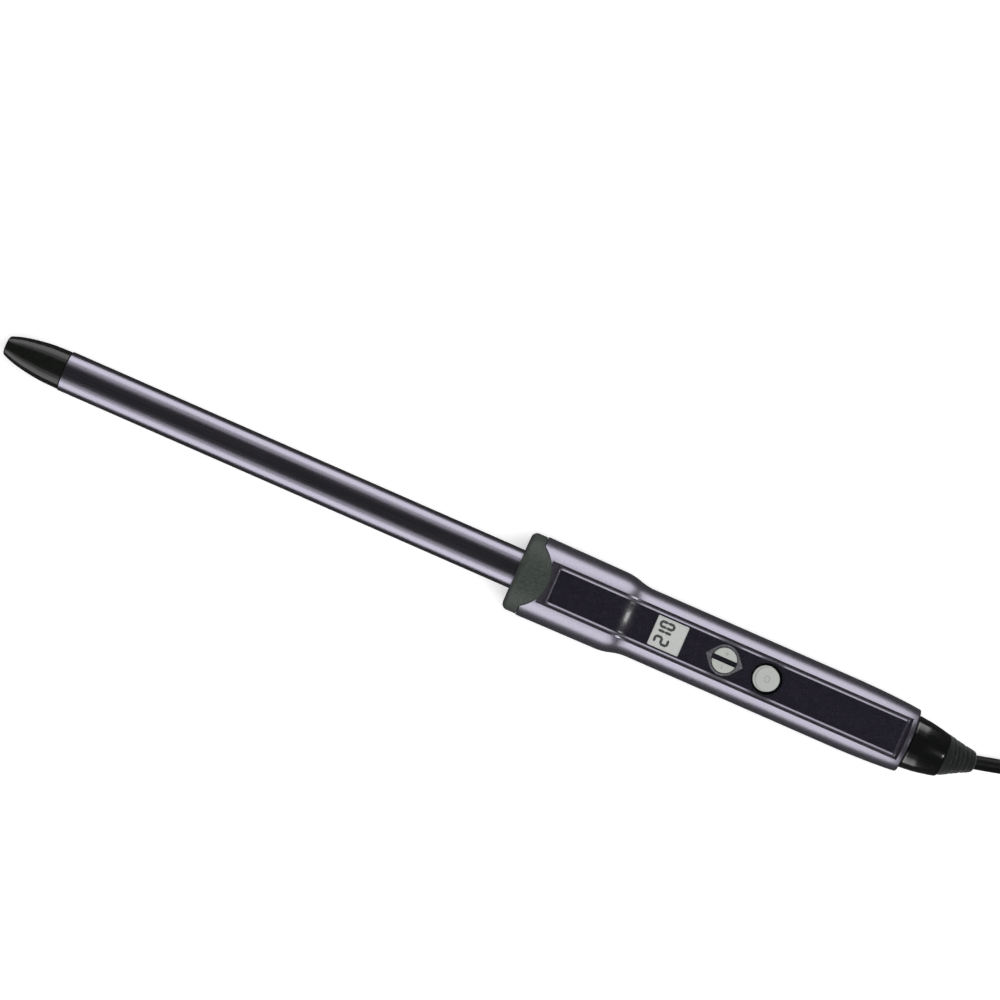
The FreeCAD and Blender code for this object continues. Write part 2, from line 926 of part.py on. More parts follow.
hub_starts = handle_length + hub_gap
hub_ends = hub_starts + hub_length
boot_pivot = Vector(hub_ends - boot_pivot_back, 0, 0)
boot_along = Vector(
    math.cos(math.radians(boot_pitch)) * math.cos(math.radians(boot_yaw)),
    math.cos(math.radians(boot_pitch)) * math.sin(math.radians(boot_yaw)),
    math.sin(math.radians(boot_pitch)),
)


def leaned(solid):
    """Turns a piece drawn along X from the origin onto the boot's own leaning axis."""
    solid.rotate(Vector(0, 0, 0), Vector(0, 1, 0), -boot_pitch)
    solid.rotate(Vector(0, 0, 0), Vector(0, 0, 1), boot_yaw)
    solid.translate(boot_pivot)
    return solid


def boot_profile(spread):
    """The boot's outline of (distance from its pivot, radius)."""
    base = boot_base_diameter / 2 + spread
    end = boot_end_diameter / 2 + spread
    return [
        (-boot_root_length, boot_root_diameter / 2 + spread),
        (-1.0, boot_root_diameter / 2 + spread),
        (2.6, base - 0.1),
        (boot_pivot_back, base),
        (0.75 * boot_length, 0.66 * base),
        (0.96 * boot_length, end),
        (boot_length, end - 0.8),
    ]


def make_strain_relief():
    """A tapered rubber boot with ring grooves, gripping the cord and seated in the hub."""
    outline = [(-boot_root_length, 0), *boot_profile(0), (boot_length, 0)]
    boot = turned(outline[0], *outline[1:])
    first = boot_pivot_back + 1.6
    pitch = (0.9 * boot_length - first) / rib_count
    base = boot_base_diameter / 2
    for index in range(rib_count):
        at = first + index * pitch
        share = (at - boot_pivot_back) / (0.75 * boot_length - boot_pivot_back)
        radius = base * (1 - 0.36 * share)
        boot = boot.cut(ring(at, at + pitch * 0.45, 20, radius - rib_depth - 0.25))
    root_bore = rod((-boot_root_length - 1, 0, 0), cord_diameter / 2, boot_root_length + 2, (1, 0, 0))
    boot = boot.cut(root_bore)
    return leaned(boot)


def make_swivel_hub():
    """The turning cord exit: a journal in the handle's bush and a glossy tapered housing."""
    front = hub_front_diameter / 2
    rear = hub_rear_diameter / 2
    middle = (hub_starts + 0.55 * hub_length, rear + 0.62 * (front - rear))
    housing = turned(
        (journal_starts, 0),
        (journal_starts, journal_diameter / 2),
        (hub_starts, journal_diameter / 2),
        (hub_starts, front - 0.5),
        (hub_starts + 0.5, front),
        (*middle, hub_ends - 0.3, rear),
        (hub_ends, rear - 0.3),
        (hub_ends, 0),
    )
    bore = rod((journal_starts - 1, 0, 0), (cord_diameter + cord_room) / 2, hub_length + 30, (1, 0, 0))
    seat_outline = [(-boot_root_length, 0), *boot_profile(seam_gap), (boot_length, 0)]
    seat = leaned(turned(seat_outline[0], *seat_outline[1:]))
    groove_at = bush_starts - running_gap - retainer_thickness
    groove = ring(groove_at - fit_gap, groove_at + retainer_thickness, 9, journal_diameter / 2 - 0.6)
    return housing.cut(bore).cut(seat).cut(groove)


def make_swivel_retainer():
    """A snap ring in the journal's groove, in front of the bush."""
    end = bush_starts - running_gap - 0.02
    clip = ring(end - retainer_thickness + 0.05, end, 6.3, journal_diameter / 2 - 0.55)
    return clip.cut(block((end - 3, -1.6, 0), (end + 3, 1.6, 10)))


def slip_ring_starts():
    first = journal_starts + 0.8
    return [first, first + slip_ring_width + slip_ring_gap]


def make_slip_rings():
    return group(
        *[
            ring(at, at + slip_ring_width, slip_ring_diameter / 2, journal_diameter / 2)
            for at in slip_ring_starts()
        ]
    )


def make_brush_holder():
    """The block under the journal that carries the two brushes, shaped to the shell."""
    start = journal_starts - 0.6
    end = start + 7.8
    inside = handle_radius(end) - shell_wall - fit_gap
    body = block((start, -5.6, -grip_radius), (end, 5.6, -8.2))
    return body.common(rod((start, 0, 0), inside, end - start, (1, 0, 0)))


def make_contact_brushes():
    """Two sprung leaves that bear on the slip rings from below."""
    brushes = []
    touch = -slip_ring_diameter / 2 - running_gap
    for at in slip_ring_starts():
        low = at + 0.4
        high = at + slip_ring_width - 0.4
        pad = block((low, -1.2, touch - 0.8), (high, 1.2, touch))
        leaf = block((low, -1.2, touch - 1.1), (high, 5.0, touch - 0.8))
        foot = block((low, 4.6, -8.2), (high, 5.0, touch - 0.8))
        brushes.append(joined(pad, leaf, foot))
    return group(*brushes)


# ---- cord, hank and plug, measured from the whole object's middle ----
cord_radius = cord_diameter / 2
hank_low = tie_thickness
hank_outer = hank_fold_radius + (hank_turns_wide - 0.5) * cord_diameter
hank_inner = hank_fold_radius - cord_radius
hank_high = hank_low + hank_layers * cord_diameter
hank_back = hank_front + hank_straight
plug_height = hank_high + tie_thickness + plug_thickness / 2


def cord_route(exit_point):
    """From the boot down to the surface, and along it to the hank's outer turn."""
    return [
        exit_point,
        (211.8, 4.7, 9.7),
        (221.8, 7.2, 6.2),
        (231.4, 10.4, 3.7),
        (241.2, 13.4, 3.1),
    ]


def tail_route():
    """From the hank's top turn, round its near end and up to the plug lying on it."""
    side = hank_side - hank_fold_radius - cord_diameter
    top = hank_high - cord_radius
    turn = (plug_side - side) / 2
    middle = (side + plug_side) / 2
    points = [(hank_front + 12, side, top), (hank_front, side + 0.2, top + 0.6)]
    for step in range(1, 6):
        angle = math.pi * step / 6
        rise = top + 1.2 + (plug_height - top - 2.0) * step / 6
        points.append(
            (
                hank_front - 2 - turn * math.sin(angle),
                middle - turn * math.cos(angle),
                rise,
            )
        )
    points.append((hank_front + 4.0, plug_side - 0.2, plug_height - 0.4))
    points.append((plug_back - plug_relief_length + 2.0, plug_side, plug_height))
    return points


def stadium(radius, low, high):
    """An upright solid with straight sides and round ends, as the hank lies."""
    straight = block((hank_front, hank_side - radius, low), (hank_back, hank_side + radius, high))
    ends = [upright(at, hank_side, low, high, radius) for at in (hank_front, hank_back)]
    return joined(straight, *ends)


def make_cord_hank():
    return stadium(hank_outer, hank_low, hank_high).cut(
        stadium(hank_inner, hank_low - 1, hank_high + 1)
    )


def make_cord_tie():
    """A strap round the hank, with its closed ends pressed flat."""
    start = hank_front + 0.55 * hank_straight
    wide = hank_outer + tie_thickness
    band = block(
        (start, hank_side - wide, hank_low - tie_thickness),
        (start + tie_width, hank_side + wide, hank_high + tie_thickness),
    )
    return band.cut(
        block(
            (start - 1, hank_side - hank_outer, hank_low),
            (start + tie_width + 1, hank_side + hank_outer, hank_high),
        )
    )


def make_plug_body():
    """A flat two-pin plug with rounded edges, its pins pointing away from the wand."""
    front = plug_back + plug_length
    half = plug_width / 2
    outline = [
        (plug_back, -plug_neck),
        (plug_back, plug_neck),
        (plug_back + plug_shoulder, half),
        (front - plug_cheek, half),
        (front, half - plug_corner),
        (front, plug_corner - half),
        (front - plug_cheek, -half),
        (plug_back + plug_shoulder, -half),
    ]
    low = plug_height - plug_thickness / 2
    corners = [Vector(x, plug_side + y, low) for x, y in outline]
    body = Part.Face(Part.makePolygon(corners + corners[:1])).extrude(
        Vector(0, 0, plug_thickness)
    )
    body = filleted(body, 2.0, lambda e: abs(e.CenterOfMass.z - plug_height) < 0.01)
    body = body.makeFillet(
        1.6, [e for e in body.Edges if abs(e.CenterOfMass.z - plug_height) > plug_thickness / 2 - 0.01]
    )
    for sign in (-1, 1):
        side = plug_side + sign * plug_pin_spacing / 2
        back = (front - plug_root_length, side, plug_height)
        body = body.cut(rod(back, plug_root_radius, plug_root_length + 1, (1, 0, 0)))
    return body


def make_plug_pins():
    front = plug_back + plug_length
    radius = plug_pin_diameter / 2
    pins = []
    for sign in (-1, 1):
        side = plug_side + sign * plug_pin_spacing / 2
        pin = rod((front, side, plug_height), radius, plug_pin_length, (1, 0, 0))
        ends = [e for e in pin.Edges if e.CenterOfMass.x > front + plug_pin_length - fit_gap]
        pin = pin.makeFillet(plug_pin_rounding, ends)
        back = (front - plug_root_length, side, plug_height)
        root = rod(back, plug_root_radius, plug_root_length + 0.5, (1, 0, 0))
        pins.append(joined(pin, root))
    return group(*pins)


def make_plug_relief():
    """The plug's own tapered relief, with ring grooves."""
    base = plug_relief_diameter / 2
    tip = cord_radius + 0.7
    face = Part.Face(
        wire((0, 0), [(0, base), (plug_relief_length, tip), (plug_relief_length, 0)])
    )
    relief = face.revolve(Vector(0, 0, 0), Vector(1, 0, 0), 360)
    for index in range(5):
        at = 3.0 + index * 4.0
        radius = base + (tip - base) * at / plug_relief_length
        relief = relief.cut(ring(at, at + 1.6, 10, radius - 0.9))
    relief = relief.cut(rod((plug_relief_length - 2.0, 0, 0), cord_radius, 5, (1, 0, 0)))
    relief.rotate(Vector(0, 0, 0), Vector(0, 0, 1), 180)
    relief.translate(Vector(plug_back, plug_side, plug_height))
    return relief


# ---- build ----
whole_shell = make_whole_shell()
wand = {
    "tip_cap": make_tip_cap(),
    "tip_insert": make_tip_insert(),
    "tip_screw": make_tip_screw(),
    "barrel_tube": make_barrel_tube(),
    "heat_spreader_upper": make_spreader(1),
    "heat_spreader_lower": make_spreader(-1),
    "ptc_heater": make_ptc_heater(),
    "electrode_strips": make_strips(stone_thickness / 2, electrode_thickness, 3.5, 6),
    "insulating_plates": make_strips(
        stone_thickness / 2 + electrode_thickness, insulator_thickness, 4.5, -2
    ),
    "temperature_sensor": make_temperature_sensor(),
    "thermal_fuse": make_thermal_fuse(),
    "barrel_holder": make_barrel_holder(),
    "holder_screws": make_holder_screws(),
    "collar": make_collar(),
    "upper_shell": make_upper_shell(whole_shell),
    "lower_shell": make_lower_shell(whole_shell),
    "case_screws": make_case_screws(),
    "control_panel": make_control_panel(),
    "display_lens": make_display_lens(),
    "display_module": make_display_module(),
    "display_frame": make_display_frame(),
    "key_bezel": make_key_bezel(),
    "plus_key": make_temperature_key(1),
    "minus_key": make_temperature_key(-1),
    "power_bezel": make_power_bezel(),
    "power_button": make_power_button(),
    "circuit_board": make_circuit_board(),
    "board_screws": make_board_screws(),
    "tactile_switches": make_tactile_switches(),
    "terminal_block": make_terminal_block(),
    "heater_leads": make_heater_leads(),
    "internal_leads": make_internal_leads(),
    "microcontroller": make_microcontroller(),
    "triac": make_triac(),
    "film_capacitor": make_film_capacitor(),
    "electrolytic_capacitor": make_electrolytic_capacitor(),
    "dropper_resistor": make_dropper_resistor(),
    "swivel_bush": make_swivel_bush(),
    "brush_holder": make_brush_holder(),
    "contact_brushes": make_contact_brushes(),
    "swivel_hub": make_swivel_hub(),
    "slip_rings": make_slip_rings(),
    "swivel_retainer": make_swivel_retainer(),
    "strain_relief": make_strain_relief(),
}
box = Part.makeCompound(list(wand.values())).optimalBoundingBox(False, False)
shift = Vector(-(box.XMin + box.XMax) / 2, 0, axis_height)
for shape in wand.values():
    shape.translate(shift)

boot_end = boot_pivot + boot_along * (boot_length - 0.2) + shift
exit_point = (boot_end.x, boot_end.y, boot_end.z)
loose = {
    "cord": routed(cord_route(exit_point), cord_diameter, "cord"),
    "cord_hank": make_cord_hank(),
    "cord_tie": make_cord_tie(),
    "cord_tail": routed(tail_route(), cord_diameter, "tail"),
    "plug_body": make_plug_body(),
    "plug_pins": make_plug_pins(),
    "plug_relief": make_plug_relief(),
}

os.makedirs("parts", exist_ok=True)
for name, shape in {**wand, **loose}.items():
    if not shape.isValid():
        raise ValueError(f"{name} is not a valid shape")
    shape.exportStep(f"parts/{name}.step")
    print(f"{name}: {len(shape.Solids)} solids, {shape.Volume:.1f} mm3")
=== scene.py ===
import json
import math

import bmesh
import bpy
from bpy.props import FloatProperty, FloatVectorProperty, PointerProperty
from mathutils import Matrix, Vector


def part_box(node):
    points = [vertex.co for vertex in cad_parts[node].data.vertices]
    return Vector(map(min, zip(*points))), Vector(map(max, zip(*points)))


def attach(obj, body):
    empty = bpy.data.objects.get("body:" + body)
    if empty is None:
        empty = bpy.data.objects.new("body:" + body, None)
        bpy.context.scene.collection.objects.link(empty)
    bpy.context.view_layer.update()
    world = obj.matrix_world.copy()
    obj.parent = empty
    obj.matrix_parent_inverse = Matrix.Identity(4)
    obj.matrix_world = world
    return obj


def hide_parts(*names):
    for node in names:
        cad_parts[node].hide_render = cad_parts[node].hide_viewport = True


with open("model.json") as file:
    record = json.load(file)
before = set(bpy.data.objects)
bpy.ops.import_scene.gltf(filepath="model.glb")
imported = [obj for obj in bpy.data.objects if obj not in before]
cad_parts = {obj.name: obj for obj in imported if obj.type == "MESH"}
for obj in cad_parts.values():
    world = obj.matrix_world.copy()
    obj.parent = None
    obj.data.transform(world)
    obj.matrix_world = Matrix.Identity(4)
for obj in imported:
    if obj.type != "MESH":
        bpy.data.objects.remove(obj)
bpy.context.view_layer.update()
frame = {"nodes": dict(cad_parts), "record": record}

bl_info = {
    "name": "Curling wand",
    "version": (1, 0, 0),
    "blender": (4, 5, 0),
    "location": "3D View > Sidebar > Wand",
    "description": "Builds a straight curling wand with a digital handle around its packed design",
    "category": "Object",
}

MM = 0.001


def linear(code):
    """Turns an sRGB hex value into the linear colour that Blender works in."""
    parts = [int(code[i : i + 2], 16) / 255 for i in (1, 3, 5)]
    return [c / 12.92 if c <= 0.04045 else ((c + 0.055) / 1.055) ** 2.4 for c in parts]


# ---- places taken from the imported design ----
def low(node):
    return Vector(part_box(node)[0])


def high(node):
    return Vector(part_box(node)[1])


def middle(node):
    return (low(node) + high(node)) / 2


def half_width(node):
    """Half of how wide a node is, in millimetres."""
    return (high(node).y - low(node).y) / 2 / MM


def station(point):
    """How far a point lies behind the collar's front, in millimetres."""
    return (point.x - FRONT_X) / MM


AXIS_Z = middle("barrel_tube").z
FRONT_X = low("collar").x
BARREL_R = half_width("barrel_tube")
TIP_END = station(low("tip_cap"))
TIP_JOINT = station(high("tip_cap"))
TIP_R = half_width("tip_cap")
COLLAR_R = half_width("collar")
SHELL_FRONT_R = half_width("lower_shell")
HANDLE_END = station(high("lower_shell"))
PANEL_START = station(low("control_panel"))
PANEL_END = station(high("control_panel"))
PANEL_HALF = half_width("control_panel")
KEYS_AT = station(middle("plus_key"))
POWER_AT = station(middle("power_button"))
DISPLAY_AT = station(middle("display_lens"))
FACE_Z = (high("display_lens").z - AXIS_Z) / MM
HUB_R = half_width("swivel_hub")

# ---- sizes of the shown surfaces, in millimetres ----
SHELL_START = 6.3
GRIP_R = 14.0
END_R = 12.9
TONGUE_HALF = 12.5
SLOT_FRONT = PANEL_START - 2.6
SLOT_REAR = PANEL_END + 1.2
SLOT_HALF = PANEL_HALF + 0.5
RIM_DROP = 0.25
FACE_HALF = 6.6
KEY_HOLE = 5.2
POWER_HOLE = 6.1
HUB_START = HANDLE_END + 0.4
HUB_END = HUB_START + 14.6
CORD_EXIT = (202.351, 2.509, 12.890)
# The bars that each digit lights, named as on any seven-bar display.
DIGITS = {"0": "abcdef", "1": "bc", "2": "abged"}


def place(s, y, z):
    """A point given in millimetres: s behind the collar's front, y across, z over the axis."""
    return Vector((FRONT_X + s * MM, y * MM, AXIS_Z + z * MM))


# ---- property groups ----
def size(name, words, millimetres):
    return FloatProperty(name=name, description=words, default=millimetres * MM, unit="LENGTH")


def colour(name, words, code):
    return FloatVectorProperty(
        name=name, description=words, subtype="COLOR", default=linear(code), min=0, max=1
    )


class WandSizes(bpy.types.PropertyGroup):
    collar_length: size("Collar length", "Straight side of the collar", 6.2)
    tongue_reach: size("Tongue reach", "Tip of the collar's arc behind its front", 13.0)
    shoulder_at: size("Shoulder", "Where the wide front of the handle ends", 39.3)
    grip_starts: size("Grip start", "Where the slim grip begins", 52.0)
    taper_starts: size("Taper start", "Where the rear taper begins", 136.7)
    cord_diameter: size("Cord diameter", "Outer diameter of the mains lead", 5.6)
    cord_length: size("Cord length", "Length of the mains lead", 1800.0)


class WandColours(bpy.types.PropertyGroup):
    violet: colour("Metallic violet", "Barrel and handle", "#A39FAE")
    tip: colour("Tip", "Cool tip", "#131513")
    collar: colour("Collar", "Matte collar", "#3A403C")
    panel: colour("Panel", "Inset control panel", "#1B1822")
    display: colour("Display", "Silver-grey display", "#C4C6C4")
    key: colour("Keys", "Keys and power button", "#B2B5B1")
    black: colour("Black", "Cord exit, boot and lead", "#060707")
    floor: colour("Floor", "Pale floor", "#F2F2F2")


MATERIALS = {}


# ---- mesh helpers ----
def finished(name, mesh, body, finish, smooth_angle=32.0, replaces=()):
    """Turns a mesh into a piece that rides on a body and its finish."""
    mesh.shade_smooth()
    mesh.set_sharp_from_angle(angle=math.radians(smooth_angle))
    piece = bpy.data.objects.new(name, mesh)
    bpy.context.scene.collection.objects.link(piece)
    mesh.materials.clear()
    mesh.materials.append(MATERIALS[finish])
    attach(piece, body)
    if replaces:
        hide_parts(*replaces)
    return piece


def cleaned(mesh, recalculate=True):
    """Merges doubles, drops empty faces and turns every face outwards."""
    bm = bmesh.new()
    bm.from_mesh(mesh)
    bmesh.ops.remove_doubles(bm, verts=bm.verts, dist=1e-7)
    bmesh.ops.dissolve_degenerate(bm, edges=bm.edges, dist=1e-8)
    if recalculate:
        bmesh.ops.recalc_face_normals(bm, faces=bm.faces)
    bm.to_mesh(mesh)
    bm.free()
    return mesh


def skin(name, rows, close_rows=False, ends=False):
    """A mesh of quads over a table of points, closed round its columns."""
    count = len(rows[0])
    points = [p for row in rows for p in row]
    faces = [tuple(range(count)), tuple(range(len(points) - count, len(points)))] if ends else []
    for i in range(len(rows) if close_rows else len(rows) - 1):
        k = (i + 1) % len(rows)
        for j in range(count):
            n = (j + 1) % count
            faces.append((i * count + j, i * count + n, k * count + n, k * count + j))
    mesh = bpy.data.meshes.new(name)
    mesh.from_pydata(points, [], faces)
    return cleaned(mesh)


def loft(name, rows):
    """A closed form through a row of sections, with flat ends."""
    return skin(name, rows, ends=True)


def corner_arc(here, before, after, radius, steps):
    """The points of the arc that rounds a corner between its two neighbours."""
    here, before, after = Vector(here), Vector(before), Vector(after)
    back, on = before - here, after - here
    turn = math.pi - back.angle(on)
    if turn < 0.02:
        return [here]
    setback = min(radius * math.tan(turn / 2), 0.49 * back.length, 0.49 * on.length)
    radius = setback / math.tan(turn / 2)
    back.normalize()
    on.normalize()
    centre = here + (back + on).normalized() * (radius / math.cos(turn / 2))
    arm = here + back * setback - centre
    end = here + on * setback - centre
    sweep = math.atan2(arm.cross(end), arm.dot(end))
    line = []
    for step in range(steps + 1):
        c, s = math.cos(sweep * step / steps), math.sin(sweep * step / steps)
        line.append(centre + Vector((arm.x * c - arm.y * s, arm.x * s + arm.y * c)))
    return line


def softened(corners, steps=6):
    """An open outline whose corners (place, radius, rounding) are rounded by arcs."""
    line = []
    for index, corner in enumerate(corners):
        if len(corner) < 3 or index in (0, len(corners) - 1):
            line.append(Vector(corner[:2]))
            continue
        before, after = corners[index - 1][:2], corners[index + 1][:2]
        line += corner_arc(corner[:2], before, after, corner[2], steps)
    return line


def s_curve(x1, r1, x2, r2, steps=24):
    """Two tangent arcs between two levels, both ends parallel to the axis."""
    run, drop = x2 - x1, r1 - r2
    radius = (run**2 + drop**2) / (4 * drop)
    line = []
    for step in range(steps + 1):
        along = run * step / steps
        if along <= run / 2:
            fall = radius - math.sqrt(radius**2 - along**2)
        else:
            fall = drop - radius + math.sqrt(radius**2 - (run - along) ** 2)
        line.append((x1 + along, r1 - fall))
    return line


def upright(name, outline, at, columns=128):
    """A turned solid about a vertical line at a place, from an outline of (radius, height)."""
    turns = [math.tau * j / columns for j in range(columns)]
    rows = [
        [place(at, 0, z) + Vector((math.cos(t), math.sin(t), 0)) * r * MM for t in turns]
        for r, z in outline
    ]
    return skin(name, rows)


def joined(name, meshes):
    """Several meshes put together as one."""
    bm = bmesh.new()
    for mesh in meshes:
        bm.from_mesh(mesh)
    whole = bpy.data.meshes.new(name)
    bm.to_mesh(whole)
    bm.free()
    return whole


def cut(mesh, *cutters):
    """A mesh with solids taken out of it."""
    piece = bpy.data.objects.new("blank", mesh)
    bpy.context.scene.collection.objects.link(piece)
    tools = []
    for index, cutter in enumerate(cutters):
        tool = bpy.data.objects.new(f"tool_{index}", cutter)
        bpy.context.scene.collection.objects.link(tool)
        modifier = piece.modifiers.new(f"cut_{index}", "BOOLEAN")
        modifier.operation = "DIFFERENCE"
        modifier.solver = "EXACT"
        modifier.object = tool
        tools.append(tool)
    result = plain_mesh(piece)
    for thing in [*tools, piece]:
        bpy.data.objects.remove(thing)
    return result


def plain_mesh(piece):
    """What an object looks like with its modifiers, as a mesh of its own."""
    bpy.context.view_layer.update()
    graph = bpy.context.evaluated_depsgraph_get()
    return bpy.data.meshes.new_from_object(piece.evaluated_get(graph), depsgraph=graph)


# ---- materials ----
def add(tree, kind, inputs=None, **settings):
    """Adds a node with its settings; an input is a plain value, or a socket to link it to."""
    made = tree.nodes.new(kind)
    for key, value in settings.items():
        setattr(made, key, value)
    for key, value in (inputs or {}).items():
        if isinstance(value, bpy.types.NodeSocket):
            tree.links.new(value, made.inputs[key])
        else:
            made.inputs[key].default_value = value
    return made


def shader(name, **inputs):
    """A new material with its Principled shader, set where its values are uniform."""
    made = bpy.data.materials.new(name)
    made.use_nodes = True
    tree = made.node_tree
    tree.nodes.clear()
    inputs = {key.replace("_", " "): value for key, value in inputs.items()}
    principled = add(tree, "ShaderNodeBsdfPrincipled", inputs)
    add(tree, "ShaderNodeOutputMaterial", {0: principled.outputs[0]})
    return made, tree, principled


def stretched(tree, scale):
    """Object coordinates, scaled apart along the three axes."""
    where = add(tree, "ShaderNodeTexCoord").outputs["Object"]
    return add(tree, "ShaderNodeMapping", {"Vector": where, "Scale": scale}).outputs[0]


def varied(tree, principled, vector, scale, base, spread, detail=3.0):
    """Lets the base colour wander a little, lighter and darker, over a noise; returns the noise."""
    noise = add(tree, "ShaderNodeTexNoise", {"Vector": vector, "Scale": scale, "Detail": detail})
    ramp = add(tree, "ShaderNodeValToRGB", {"Fac": noise.outputs["Fac"]})
    dark, light = ramp.color_ramp.elements
    dark.position = 0.35
    light.position = 0.65
    dark.color = (*[c * (1 - spread) for c in base], 1)
    light.color = (*[min(1, c * (1 + spread)) for c in base], 1)
    tree.links.new(ramp.outputs[0], principled.inputs["Base Color"])
    return noise.outputs["Fac"]


def roughened(tree, principled, source, lowest, highest):
    """Drives the roughness between two values from a noise."""
    reach = {"From Min": 0.3, "From Max": 0.7, "To Min": lowest, "To Max": highest}
    span = add(tree, "ShaderNodeMapRange", {"Value": source, **reach})
    tree.links.new(span.outputs[0], principled.inputs["Roughness"])


def bumped(tree, principled, source, depth_mm, strength):
    """Raises a height from a pattern, its depth in millimetres."""
    values = {"Height": source, "Strength": strength, "Distance": depth_mm * MM}
    bump = add(tree, "ShaderNodeBump", values)
    tree.links.new(bump.outputs[0], principled.inputs["Normal"])


def per_mm(size):
    """A noise scale for a pattern whose features are this many millimetres wide."""
    return 1 / (size * MM)


def maths(tree, operation, first, second=0.5):
    """One sum on two values, each of them a number or a socket."""
    return add(tree, "ShaderNodeMath", {0: first, 1: second}, operation=operation).outputs[0]


EVEN = (1.0, 1.0, 1.0)


def grained(name, base, size_mm, spread, rough=None, bump=None, detail=3.0, drawn=EVEN, **inputs):
    """A finish whose colour, roughness and height all follow one noise.

    rough holds the lowest and the highest roughness, bump the depth in millimetres and its
    strength, and drawn how the noise is stretched along the three axes.
    """
    made, tree, principled = shader(name, **inputs)
    noise = varied(tree, principled, stretched(tree, drawn), per_mm(size_mm), base, spread, detail)
    if rough:
        roughened(tree, principled, noise, *rough)
    if bump:
        bumped(tree, principled, noise, *bump)
    return made


def metallic_lacquer(base):
    # Moulded ABS sprayed with an aluminium-flake lacquer under a clear coat: soft sparkle.
    made, tree, principled = shader(
        "metallic_lacquer", Metallic=0.95, Roughness=0.3, Coat_Weight=0.35, Coat_Roughness=0.12
    )
    even = stretched(tree, EVEN)
    varied(tree, principled, even, per_mm(0.35), base, 0.07, 2.0)
    # Flakes are a few hundredths of a millimetre, drawn coarser so that they show.
    flakes = add(tree, "ShaderNodeTexVoronoi", {"Vector": even, "Scale": per_mm(0.3)})
    roughened(tree, principled, flakes.outputs["Distance"], 0.27, 0.34)
    bumped(tree, principled, flakes.outputs["Distance"], 0.003, 0.4)
    return made


def clear_acrylic():
    # Cast acrylic window: clear, with a polished face.
    made, tree, principled = shader(
        "clear_acrylic", Base_Color=(1, 1, 1, 1), Roughness=0.05, IOR=1.49, Alpha=0.03
    )
    smear = add(
        tree, "ShaderNodeTexNoise", {"Vector": stretched(tree, EVEN), "Scale": per_mm(4.0)}
    )
    roughened(tree, principled, smear.outputs["Fac"], 0.03, 0.1)
    return made


def woven_strap():
    # Woven nylon strap: yarns over and under each other, drawn coarse, 2.5 mm apart.
    made, tree, principled = shader(
        "woven_strap", Roughness=0.75, Sheen_Weight=0.4, Sheen_Roughness=0.5
    )
    even = stretched(tree, EVEN)
    # A wave's phase, in radians, is twenty times its scaled place.
    values = {"Vector": even, "Scale": per_mm(0.4) / 20, "Distortion": 0.4}
    warp, weft, depth = (
        add(tree, "ShaderNodeTexWave", values, bands_direction=axis).outputs["Fac"]
        for axis in ("X", "Y", "Z")
    )
    weave = maths(tree, "MULTIPLY", maths(tree, "MAXIMUM", warp, weft), depth)
    varied(tree, principled, even, per_mm(0.8), linear("#17171A"), 0.3)
    bumped(tree, principled, weave, 0.1, 0.8)
    return made


